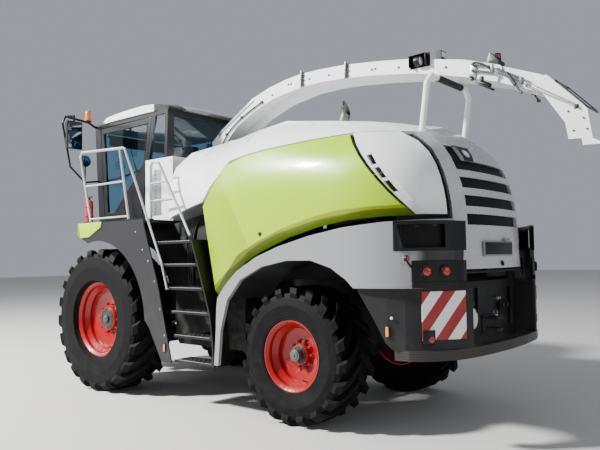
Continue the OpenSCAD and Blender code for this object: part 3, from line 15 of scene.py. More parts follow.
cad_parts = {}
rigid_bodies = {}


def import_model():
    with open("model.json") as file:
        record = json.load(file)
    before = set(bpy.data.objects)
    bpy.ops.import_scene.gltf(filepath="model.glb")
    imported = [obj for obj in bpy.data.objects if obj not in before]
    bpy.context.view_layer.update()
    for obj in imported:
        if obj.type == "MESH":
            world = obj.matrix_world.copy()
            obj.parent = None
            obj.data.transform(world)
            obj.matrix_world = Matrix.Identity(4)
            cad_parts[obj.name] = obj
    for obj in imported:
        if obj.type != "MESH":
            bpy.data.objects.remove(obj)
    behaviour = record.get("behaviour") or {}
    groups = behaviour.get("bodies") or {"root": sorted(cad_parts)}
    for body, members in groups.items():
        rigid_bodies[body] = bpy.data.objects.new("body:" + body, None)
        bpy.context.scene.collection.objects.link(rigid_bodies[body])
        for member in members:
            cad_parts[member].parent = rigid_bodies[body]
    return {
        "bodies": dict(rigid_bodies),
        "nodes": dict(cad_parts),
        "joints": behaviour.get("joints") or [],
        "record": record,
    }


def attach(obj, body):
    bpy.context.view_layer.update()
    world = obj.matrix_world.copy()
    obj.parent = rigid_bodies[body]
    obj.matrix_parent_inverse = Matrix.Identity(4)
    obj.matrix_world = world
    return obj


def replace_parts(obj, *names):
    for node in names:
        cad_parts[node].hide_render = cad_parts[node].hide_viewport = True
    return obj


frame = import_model()

LOG = logging.getLogger("harvester")
Colour = tuple[float, float, float]
Point = tuple[float, float, float] | Vector
Flat = tuple[float, float]
NodeSocket = bpy.types.NodeSocket
PHOTO_WIDTH: int = 600
# Near-black for painted shade in gaps, creases and inner faces, and for the black frame behind the corner
# windows.
DARK_SHADE_AND_TRIM: Colour = (0.007, 0.007, 0.008)
# Edges sharper than this, in degrees, stay sharp.
SHARP_ANGLE: float = 32.0
# Distance outside the machine, in metres, from which it is sounded.
FAR: float = 4.0
TO_FRONT: Point = (-1, 0, 0)
TO_REAR: Point = (1, 0, 0)
DOWN: Point = (0, 0, -1)
UP: Point = (0, 0, 1)
OUT_LEFT: Point = (0, -1, 0)


class Side(Enum):
    """Side of the machine, as the sign of its Y."""

    LEFT = -1
    RIGHT = 1


class Nodes:
    """Short forms for building one material's nodes."""

    def __init__(self, tree: bpy.types.NodeTree) -> None:
        """Keeps the tree.

        Args:
            tree: Node tree that the nodes go into.
        """
        self.tree = tree

    def add(self, kind: str, **values: object) -> bpy.types.Node:
        """Adds a node and sets its properties and inputs.

        Args:
            kind: The node's type name.
            **values: Properties by name, or inputs by their socket's name with _ for a space.

        Returns:
            The new node.
        """
        node = self.tree.nodes.new(kind)
        for name, value in values.items():
            if hasattr(node, name):
                setattr(node, name, value)
            else:
                node.inputs[name.replace("_", " ")].default_value = value
        return node

    def link(self, start: bpy.types.NodeSocket, end: bpy.types.NodeSocket) -> None:
        """Links two sockets."""
        self.tree.links.new(start, end)

    def axes(self) -> tuple[NodeSocket, NodeSocket, NodeSocket]:
        """Gives the object's own X, Y and Z."""
        place = self.add("ShaderNodeTexCoord")
        split = self.add("ShaderNodeSeparateXYZ")
        self.link(place.outputs["Object"], split.inputs[0])
        return split.outputs[0], split.outputs[1], split.outputs[2]

    def inverse(self, value: NodeSocket) -> NodeSocket:
        """Gives one minus a value."""
        return self.math("SUBTRACT", 1.0, value)

    def math(self, operation: str, a: object, b: object = 0.0, clamp: bool = False) -> NodeSocket:
        """Adds a Math node.

        Args:
            operation: The Math node's operation.
            a: First number or socket.
            b: Second number or socket.
            clamp: Keeps the result between 0 and 1.

        Returns:
            The result's socket.
        """
        node = self.tree.nodes.new("ShaderNodeMath")
        node.operation = operation
        node.use_clamp = clamp
        for slot, value in zip(node.inputs, (a, b)):
            if isinstance(value, bpy.types.NodeSocket):
                self.link(value, slot)
            else:
                slot.default_value = value
        return node.outputs[0]

    def mix(self, mask: object, a: object, b: object) -> NodeSocket:
        """Mixes two colours.

        Args:
            mask: Share of the second colour, as a number or socket.
            a: First colour or socket.
            b: Second colour or socket.

        Returns:
            The mixed colour's socket.
        """
        node = self.tree.nodes.new("ShaderNodeMix")
        node.data_type = "RGBA"
        for slot, value in ((node.inputs[0], mask), (node.inputs[6], a), (node.inputs[7], b)):
            if isinstance(value, bpy.types.NodeSocket):
                self.link(value, slot)
            else:
                slot.default_value = value if slot is node.inputs[0] else (*value, 1.0)
        return node.outputs[2]

    def ramp(self, value: NodeSocket, low: float, high: float) -> NodeSocket:
        """Maps a value between two limits to 0 to 1, with both ends rounded.

        Args:
            value: The value's socket.
            low: Value that gives 0.
            high: Value that gives 1.

        Returns:
            The result's socket.
        """
        node = self.tree.nodes.new("ShaderNodeMapRange")
        node.interpolation_type = "SMOOTHSTEP"
        self.link(value, node.inputs["Value"])
        node.inputs["From Min"].default_value = low
        node.inputs["From Max"].default_value = high
        return node.outputs["Result"]


def socket(tree: bpy.types.NodeTree, name: str, way: str, value: float | None = None) -> None:
    """Adds a number socket to a node group.

    Args:
        tree: The group.
        name: The socket's name.
        way: INPUT or OUTPUT.
        value: Default value of an input.
    """
    item = tree.interface.new_socket(name=name, in_out=way, socket_type="NodeSocketFloat")
    if value is not None:
        item.default_value = value


class Effects:
    """Node groups that several finishes share, each built once."""

    _made: dict[str, bpy.types.NodeTree] = {}
    fast_by: float = 14.0
    dust_scale: float = 5.5
    dust_edge: Flat = (0.38, 0.72)
    upward: Flat = (0.5, 1.0)
    upward_share: float = 0.25
    noise_by: float = 0.4
    noise_share: float = 0.6

    @classmethod
    def get(cls, name: str) -> bpy.types.NodeTree:
        """Gives a group by name, and builds it at its first use.

        Args:
            name: mottle, dust or grain.

        Returns:
            The node group.
        """
        if name not in cls._made:
            cls._made[name] = getattr(cls, f"_{name}")()
        return cls._made[name]

    @staticmethod
    def _start(name: str, inputs: dict[str, float],
               outputs: list[str]) -> tuple[Nodes, bpy.types.Node, bpy.types.Node]:
        """Starts a group that reads Object coordinates.

        Args:
            name: The group's name.
            inputs: Inputs and their default values.
            outputs: Names of the outputs.

        Returns:
            The node helper, the input node and the output node.
        """
        tree = bpy.data.node_groups.new(name, "ShaderNodeTree")
        for key, value in inputs.items():
            socket(tree, key, "INPUT", value=value)
        for key in outputs:
            socket(tree, key, "OUTPUT")
        nodes = Nodes(tree)
        return nodes, nodes.add("NodeGroupInput"), nodes.add("NodeGroupOutput")

    @staticmethod
    def _mottle() -> bpy.types.NodeTree:
        """Slow and fast variation of a surface.

        Returns:
            The group, with outputs Slow and Fast.
        """
        n, given, out = Effects._start("mottle", {"Scale": 3.0}, ["Slow", "Fast"])
        place = n.add("ShaderNodeTexCoord")
        slow = n.add("ShaderNodeTexNoise", Detail=3.0, Roughness=0.55)
        fast = n.add("ShaderNodeTexNoise", Detail=5.0, Roughness=0.65)
        n.link(place.outputs["Object"], slow.inputs["Vector"])
        n.link(place.outputs["Object"], fast.inputs["Vector"])
        n.link(given.outputs["Scale"], slow.inputs["Scale"])
        n.link(n.math("MULTIPLY", given.outputs["Scale"], Effects.fast_by), fast.inputs["Scale"])
        n.link(slow.outputs["Fac"], out.inputs["Slow"])
        n.link(fast.outputs["Fac"], out.inputs["Fast"])
        return n.tree

    @staticmethod
    def _dust() -> bpy.types.NodeTree:
        """Dust that gathers low on the machine and on faces that look up.

        Returns:
            The group, with output Mask.
        """
        n, given, out = Effects._start("dust", {"Amount": 0.3, "Top": 1.6}, ["Mask"])
        place = n.add("ShaderNodeTexCoord")
        axes = n.add("ShaderNodeSeparateXYZ")
        n.link(place.outputs["Object"], axes.inputs[0])
        shape = n.add("ShaderNodeNewGeometry")
        facing = n.add("ShaderNodeSeparateXYZ")
        n.link(shape.outputs["Normal"], facing.inputs[0])
        noise = n.add("ShaderNodeTexNoise", Scale=Effects.dust_scale, Detail=6.0, Roughness=0.7)
        n.link(place.outputs["Object"], noise.inputs["Vector"])
        low = n.math("SUBTRACT", 1.0, n.math("DIVIDE", axes.outputs["Z"], given.outputs["Top"]), clamp=True)
        up = n.math("MULTIPLY", n.ramp(facing.outputs["Z"], *Effects.upward), Effects.upward_share)
        spread = n.math("MULTIPLY", n.ramp(noise.outputs["Fac"], *Effects.dust_edge), n.math("ADD", low, up))
        n.link(n.math("MULTIPLY", spread, given.outputs["Amount"], clamp=True), out.inputs["Mask"])
        return n.tree

    @staticmethod
    def _grain() -> bpy.types.NodeTree:
        """Fine pebbled height for mouldings and rubber.

        Returns:
            The group, with output Height.
        """
        n, given, out = Effects._start("grain", {"Scale": 260.0}, ["Height"])
        place = n.add("ShaderNodeTexCoord")
        cells = n.add("ShaderNodeTexVoronoi", feature="SMOOTH_F1")
        noise = n.add("ShaderNodeTexNoise", Detail=4.0)
        n.link(place.outputs["Object"], cells.inputs["Vector"])
        n.link(place.outputs["Object"], noise.inputs["Vector"])
        n.link(given.outputs["Scale"], cells.inputs["Scale"])
        n.link(n.math("MULTIPLY", given.outputs["Scale"], Effects.noise_by), noise.inputs["Scale"])
        rough = n.math("MULTIPLY", noise.outputs["Fac"], Effects.noise_share)
        n.link(n.math("ADD", cells.outputs["Distance"], rough), out.inputs["Height"])
        return n.tree


def start_material(name: str, **values: object) -> tuple[bpy.types.Material, Nodes, bpy.types.Node]:
    """Starts a material with its Principled shader.

    Args:
        name: The material's name.
        **values: The shader's inputs, by their socket's name with _ for a space.

    Returns:
        The material, the node helper and the shader.
    """
    material = bpy.data.materials.new(name)
    material.use_nodes = True
    material.node_tree.nodes.clear()
    n = Nodes(material.node_tree)
    shader = n.add("ShaderNodeBsdfPrincipled", **values)
    out = n.add("ShaderNodeOutputMaterial")
    n.link(shader.outputs[0], out.inputs[0])
    return material, n, shader


@dataclass(frozen=True)
class Finish:
    """A surface finish whose colour, gloss and dust vary over the piece."""

    name: str
    colour: Colour
    rough: float = 0.4
    metal: float = 0.0
    coat: float = 0.0
    grain: float = 0.0
    grain_scale: float = 260.0
    vary: float = 0.12
    dust: float = 0.25
    dust_top: float = 1.6
    dust_colour: Colour = (0.22, 0.20, 0.17)
    gloss: float = 0.5
    coat_rough: float = 0.08
    shade: float = 0.55
    rough_vary: float = 0.22
    rough_dust: float = 0.35
    bump_depth: float = 0.002
    plain_bump: float = 0.03

    def build(self) -> bpy.types.Material:
        """Makes the material.

        Returns:
            The material.
        """
        material, n, shader = start_material(self.name, Metallic=self.metal, Coat_Weight=self.coat,
                                             Coat_Roughness=self.coat_rough, Specular_IOR_Level=self.gloss)
        mottle = n.add("ShaderNodeGroup", node_tree=Effects.get("mottle"))
        dust = n.add("ShaderNodeGroup", node_tree=Effects.get("dust"))
        dust.inputs["Amount"].default_value = self.dust
        dust.inputs["Top"].default_value = self.dust_top
        paint = self.pattern(n)
        shade = n.math("MULTIPLY", mottle.outputs["Slow"], self.vary)
        dark = n.mix(shade, paint, tuple(c * self.shade for c in self.colour))
        n.link(n.mix(dust.outputs["Mask"], dark, self.dust_colour), shader.inputs["Base Color"])
        spread = n.math("MULTIPLY", n.math("SUBTRACT", mottle.outputs["Fast"], 0.5), self.rough_vary)
        dusty = n.math("MULTIPLY", dust.outputs["Mask"], self.rough_dust)
        rough = n.math("ADD", n.math("ADD", self.rough, spread), dusty, clamp=True)
        n.link(rough, shader.inputs["Roughness"])
        bump = n.add("ShaderNodeBump", Distance=self.bump_depth)
        if self.grain > 0:
            grain = n.add("ShaderNodeGroup", node_tree=Effects.get("grain"))
            grain.inputs["Scale"].default_value = self.grain_scale
            bump.inputs["Strength"].default_value = self.grain
            n.link(grain.outputs["Height"], bump.inputs["Height"])
        else:
            bump.inputs["Strength"].default_value = self.plain_bump
            n.link(mottle.outputs["Fast"], bump.inputs["Height"])
        n.link(bump.outputs[0], shader.inputs["Normal"])
        return material

    def pattern(self, n: Nodes) -> object:
        """Colour before variation and dust.

        Args:
            n: The material's nodes; not used here.

        Returns:
            A colour or a colour socket.
        """
        return self.colour


@dataclass(frozen=True)
class StripedFinish(Finish):
    """Reflective sheet with slanting stripes."""

    stripe: Colour = (0.28, 0.0006, 0.002)
    pitch: float = 0.31
    slope: float = 1.59
    phase: float = 3.169
    clear_half: float = 0.5

    def pattern(self, n: Nodes) -> object:
        """Slanting stripes that fall outward on both sides.

        Args:
            n: The material's nodes.

        Returns:
            The striped colour's socket.
        """
        _, y, z = n.axes()
        width = n.math("ABSOLUTE", y)
        rise = n.math("ADD", z, n.math("MULTIPLY", width, self.slope))
        run = n.math("DIVIDE", n.math("SUBTRACT", rise, self.phase), self.pitch)
        step = n.math("LESS_THAN", n.math("FRACT", n.math("ADD", run, 10.0)), 0.5)
        face = n.math("GREATER_THAN", width, self.clear_half)
        return n.mix(n.math("MULTIPLY", step, face), self.colour, self.stripe)


@dataclass(frozen=True)
class DoorFinish(Finish):
    """Door paint with painted shade on its front and on its foot, and a thin line along the foot's edge.

    The foot's edge is a curve over start_x to start_x + span, and curve lists its places between, as
    shares of the span and heights over base_z. The front ends at a line that passes fold_at.
    """

    # Painted shade on the foot, the lower flank that faces down.
    foot: Colour = (0.06, 0.12, 0.0001)
    line: Colour = (0.65, 0.30, 0.02)
    # Painted shade on the front, before the fold, where light falls on it at another angle.
    front: Colour = (0.30, 0.47, 0.0001)
    start_x: float = -0.10
    span: float = 2.5
    base_z: float = 1.30
    curve: tuple[Flat, ...] = ((0.0, 0.08), (1.0, 0.82), (0.12, 0.27), (0.28, 0.52), (0.5, 0.69),
                               (0.75, 0.79))
    foot_edge: float = 0.004
    line_half: float = 0.006
    fold_at: Flat = (-0.03, 2.69)
    fold_slope: float = 1.676
    fold_edge: Flat = (-0.020, 0.012)
    foot_shade_share: float = 0.75
    line_share: float = 0.6

    def pattern(self, n: Nodes) -> object:
        """Colour with painted shade in front of the fold and below a curve that climbs to the rear.

        Args:
            n: The material's nodes.

        Returns:
            The colour's socket.
        """
        x, _, z = n.axes()
        curve = n.add("ShaderNodeFloatCurve")
        points = curve.mapping.curves[0].points
        points[0].location, points[1].location = self.curve[:2]
        for spot in self.curve[2:]:
            points.new(*spot)
        curve.mapping.update()
        n.link(n.math("DIVIDE", n.math("SUBTRACT", x, self.start_x), self.span), curve.inputs["Value"])
        height = n.math("SUBTRACT", z, n.math("ADD", curve.outputs[0], self.base_z))
        # Mask of the painted shade below the foot's edge.
        below = n.inverse(n.ramp(height, -self.foot_edge, self.foot_edge))
        rise = n.ramp(height, -self.line_half, 0.0)
        line = n.math("MULTIPLY", rise, n.inverse(n.ramp(height, self.line_half, 2 * self.line_half)))
        # Painted shade in front of the fold.
        along = n.math("MULTIPLY", n.math("SUBTRACT", x, self.fold_at[0]), self.fold_slope)
        fold = n.math("ADD", along, n.math("SUBTRACT", z, self.fold_at[1]))
        panel = n.mix(n.inverse(n.ramp(fold, *self.fold_edge)), self.colour, self.front)
        shaded = n.mix(n.math("MULTIPLY", below, self.foot_shade_share), panel, self.foot)
        return n.mix(n.math("MULTIPLY", line, self.line_share), shaded, self.line)


@dataclass(frozen=True)
class Zone:
    """Box that takes another colour on both sides of the machine."""

    low: Point
    high: Point
    colour: Colour
    soft: float = 0.004


@dataclass(frozen=True)
class ZoneFinish(Finish):
    """Paint or moulding whose colour changes inside some zones."""

    zones: tuple[Zone, ...] = ()

    def pattern(self, n: Nodes) -> object:
        """Colour with every zone laid over the one before.

        Args:
            n: The material's nodes.

        Returns:
            The colour's socket.
        """
        x, y, z = n.axes()
        spots = (x, n.math("ABSOLUTE", y), z)
        colour = self.colour
        for zone in self.zones:
            inside = 1.0
            for spot, low, high in zip(spots, zone.low, zone.high):
                rise = n.ramp(n.math("SUBTRACT", spot, low), -zone.soft, zone.soft)
                fall = n.ramp(n.math("SUBTRACT", spot, high), -zone.soft, zone.soft)
                inside = n.math("MULTIPLY", n.math("MULTIPLY", rise, inside), n.inverse(fall))
            colour = n.mix(inside, colour, zone.colour)
        return colour


@dataclass(frozen=True)
class GlassFinish:
    """Tinted pane with faint dust that roughens it."""

    name: str
    tint: Colour
    rough: float = 0.02
    vary: float = 0.15
    shade: float = 0.8
    rough_vary: float = 0.03

    def build(self) -> bpy.types.Material:
        """Makes the material.

        Returns:
            The material.
        """
        material, n, shader = start_material(self.name, Metallic=0.0, IOR=1.45, Transmission_Weight=1.0)
        mottle = n.add("ShaderNodeGroup", node_tree=Effects.get("mottle"))
        mask = n.math("MULTIPLY", mottle.outputs["Slow"], self.vary)
        dark = tuple(c * self.shade for c in self.tint)
        n.link(n.mix(mask, self.tint, dark), shader.inputs["Base Color"])
        spread = n.math("MULTIPLY", mottle.outputs["Fast"], self.rough_vary)
        n.link(n.math("ADD", self.rough, spread), shader.inputs["Roughness"])
        return material


FINISHES: dict[str, Finish | GlassFinish] = {
    "frame_paint": Finish("frame_paint", (0.009, 0.0095, 0.010), gloss=0.25, rough=0.5, dust=0.35),
    "rim_red": Finish("rim_red", (0.30, 0.0002, 0.0008), gloss=0.4, rough=0.34, coat=0.15, dust=0.05,
                      vary=0.10),
    "tyre": Finish("tyre_rubber", (0.0026, 0.0025, 0.0028), gloss=0.14, rough=0.70, grain=0.3,
                   grain_scale=170.0, dust=0.10, vary=0.25, dust_colour=(0.09, 0.086, 0.08)),
    "engine_grey": Finish("engine_grey", (0.10, 0.105, 0.11), rough=0.55, dust=0.5),
    "tank_plastic": Finish("tank_plastic", (0.008, 0.0084, 0.009), gloss=0.2, rough=0.6, grain=0.3, dust=0.4),
    "white_panel": Finish("white_paint", (0.86, 0.865, 0.86), rough=0.26, coat=0.4, vary=0.04, dust=0.05),
    "green_panel": DoorFinish("green_paint", (0.37, 0.59, 0.0001), gloss=0.35, rough=0.30, coat=0.2,
                              vary=0.06, dust=0.02),
    "mesh_black": Finish("black_mesh", (0.0035, 0.0035, 0.004), gloss=0.2, rough=0.6, vary=0.3, dust=0.10),
    "skirt_grey": Finish("dark_moulding", (0.019, 0.019, 0.0205), gloss=0.3, rough=0.46, grain=0.18,
                         grain_scale=380.0, dust=0.15),
    "lamp_box": Finish("black_moulding", (0.005, 0.005, 0.0056), gloss=0.3, rough=0.38, grain=0.12,
                       dust=0.12),
    "board_face": StripedFinish("striped_sheet", (0.78, 0.78, 0.76), rough=0.32, grain=0.10,
                                grain_scale=520.0, vary=0.05),
    "exhaust_steel": Finish("exhaust_steel", (0.30, 0.29, 0.28), rough=0.42, metal=1.0, vary=0.5),
    "cab_black": Finish("cab_black", (0.005, 0.0055, 0.0065), gloss=0.3, rough=0.36, coat=0.2, dust=0.08),
    "seat_cover": Finish("seat_cloth", (0.035, 0.038, 0.045), rough=0.9, grain=0.6, grain_scale=320.0),
    "beacon_amber": Finish("amber_lens", (0.85, 0.20, 0.015), rough=0.16, coat=0.8, vary=0.2, dust=0.05),
    "feeder_paint": Finish("feeder_paint", (0.09, 0.092, 0.10), rough=0.5, dust=0.4),
    "bare_steel": Finish("bare_steel", (0.42, 0.42, 0.43), rough=0.34, metal=1.0, vary=0.4, dust=0.3),
    "chrome_rod": Finish("polished_rod", (0.72, 0.72, 0.73), rough=0.12, metal=1.0, vary=0.1, dust=0.05),
    "cab_glass": GlassFinish("tinted_glass", (0.40, 0.64, 0.76)),
    "red_lens": Finish("red_lens", (0.36, 0.001, 0.002), rough=0.15, coat=0.8, vary=0.25, dust=0.05),
    "amber_marker": Finish("amber_marker", (0.85, 0.24, 0.01), rough=0.18, coat=0.8, vary=0.2, dust=0.05),
    "lime_paint": Finish("lime_paint", (0.42, 0.64, 0.0005), rough=0.3, coat=0.3, vary=0.08, dust=0.05),
    "extinguisher_red": Finish("extinguisher_red", (0.60, 0.01, 0.01), rough=0.25, coat=0.4),
    "roof_shell": ZoneFinish("roof_shell", (0.84, 0.845, 0.84), rough=0.28, coat=0.4, vary=0.05, dust=0.08,
                             zones=(Zone((-1.66, -1, 0), (0, 2, 5), (0.30, 0.31, 0.32)),
                                    Zone((-1.72, 0.60, 0), (0, 2, 5), (0.010, 0.010, 0.012), 0.012))),
    "ladder_black": Finish("ladder_black", (0.006, 0.006, 0.0065), rough=0.5, dust=0.12, gloss=0.25),
    # Mudguard shell: near-black painted shade on the faces inward of its outer skin and in the crease beside
    # the lamps, and a black frame behind the corner windows.
    "fender_shell": ZoneFinish("fender_shell", (0.25, 0.254, 0.262), rough=0.36, coat=0.1, grain=0.06,
                               grain_scale=420.0, vary=0.08, dust=0.08,
                               zones=(Zone((-1, -1, 0), (1.9, 1.400, 3), DARK_SHADE_AND_TRIM, 0.003),
                                      Zone((1.9, -1, 0), (2.27, 1.290, 3), DARK_SHADE_AND_TRIM),
                                      Zone((2.268, -1, 1.725), (3, 2, 1.99), DARK_SHADE_AND_TRIM),
                                      Zone((2.46, -1, 1.3), (3, 2, 1.80), DARK_SHADE_AND_TRIM, 0.045))),
    "skirt_shell": ZoneFinish("skirt_shell", (0.013, 0.013, 0.0145), gloss=0.3, rough=0.44, grain=0.18,
                              grain_scale=380.0, dust=0.10,
                              zones=(Zone((2.0, -1, 0.74), (4, 2, 0.862), (0.040, 0.035, 0.033), 0.002),
                                     # Thin darker lines of painted shade stand in for the grooves between the
                                     # ribs.
                                     *(Zone((2.0, -1, z), (4, 2, z + 0.005), (0.018, 0.016, 0.015), 0.001)
                                       for z in (0.786, 0.808, 0.830, 0.852)))),
    # Tailgate: its own light grey, darkened further with painted shade as the back lies in shade; the
    # near-black zones are painted shade in the gaps along its sides and beside the rear lamps.
    "tailgate_shell": ZoneFinish("tailgate_shell", (0.50, 0.51, 0.53), rough=0.28, coat=0.4, vary=0.06,
                                 dust=0.08,
                                 zones=(Zone((0, 0.768, 0), (4, 2, 5), DARK_SHADE_AND_TRIM, 0.002),
                                        Zone((0, 0.600, 1.5), (2.600, 2, 1.80), DARK_SHADE_AND_TRIM, 0.002))),
    "rail_silver": Finish("rail_silver", (0.46, 0.47, 0.48), rough=0.34, metal=0.35, vary=0.15, dust=0.12),
    "mirror_face": Finish("mirror_face", (0.10, 0.13, 0.16), rough=0.06, metal=1.0, vary=0.1, dust=0.04),
    "lens_brown": Finish("lens_brown", (0.12, 0.012, 0.010), rough=0.16, coat=0.8, dust=0.05),
    "link_grey": Finish("link_grey", (0.11, 0.115, 0.12), rough=0.36, metal=0.6, vary=0.3, dust=0.2),
    "hub_dark": Finish("hub_dark", (0.022, 0.020, 0.021), rough=0.45, dust=0.3),
    "hub_grey": Finish("hub_grey", (0.12, 0.125, 0.13), rough=0.38, metal=0.6, vary=0.25, dust=0.3),
    "nut_red": Finish("nut_red", (0.26, 0.012, 0.012), rough=0.42, vary=0.3),
    "trim_black": Finish("trim_black", (0.005, 0.005, 0.0056), gloss=0.3, rough=0.42, grain=0.12,
                         grain_scale=420.0, dust=0.15),
    "rubber_black": Finish("rubber_black", (0.010, 0.010, 0.010), rough=0.7, grain=0.15, dust=0.15),
    "hose_rubber": Finish("hose_rubber", (0.014, 0.014, 0.015), rough=0.55, grain=0.2, grain_scale=600.0,
                          dust=0.2),
    "silver_trim": Finish("silver_trim", (0.30, 0.31, 0.32), rough=0.36, metal=0.4, vary=0.15, dust=0.15),
    "white_lens": Finish("white_lens", (0.74, 0.76, 0.78), rough=0.10, coat=1.0, vary=0.15, dust=0.05),
    "bolt_dark": Finish("bolt_dark", (0.05, 0.05, 0.055), rough=0.45, metal=0.5, vary=0.25, dust=0.3),
    "wall_dark": Finish("wall_dark", (0.006, 0.0063, 0.0066), gloss=0.2, rough=0.55, dust=0.3),
    "lining_grey": Finish("lining_grey", (0.055, 0.058, 0.064), rough=0.75, grain=0.3, grain_scale=480.0,
                          dust=0.05),
    "screen_black": Finish("screen_black", (0.010, 0.012, 0.016), rough=0.08, coat=0.8, dust=0.03),
    "polished": Finish("polished_link", (0.62, 0.62, 0.63), rough=0.18, metal=1.0, vary=0.1, dust=0.05),
}


class Palette:
    """Materials by name, each made once."""

    _made: dict[str, bpy.types.Material] = {}

    @classmethod
    def get(cls, name: str) -> bpy.types.Material:
        """Gives a material and builds it at its first use.

        Args:
            name: Key in FINISHES.

        Returns:
            The material.
        """
        if name not in cls._made:
            cls._made[name] = FINISHES[name].build()
        return cls._made[name]


def aim(centre: Point, axis: Point) -> Matrix:
    """Gives the matrix that moves the origin to a place and turns Z to a direction."""
    turn = Vector((0, 0, 1)).rotation_difference(Vector(axis))
    return Matrix.Translation(centre) @ turn.to_matrix().to_4x4()


def verts_of(parts: Sequence[object]) -> list[bmesh.types.BMVert]:
    """Gives the vertices out of an operator's result."""
    return [part for part in parts if isinstance(part, bmesh.types.BMVert)]


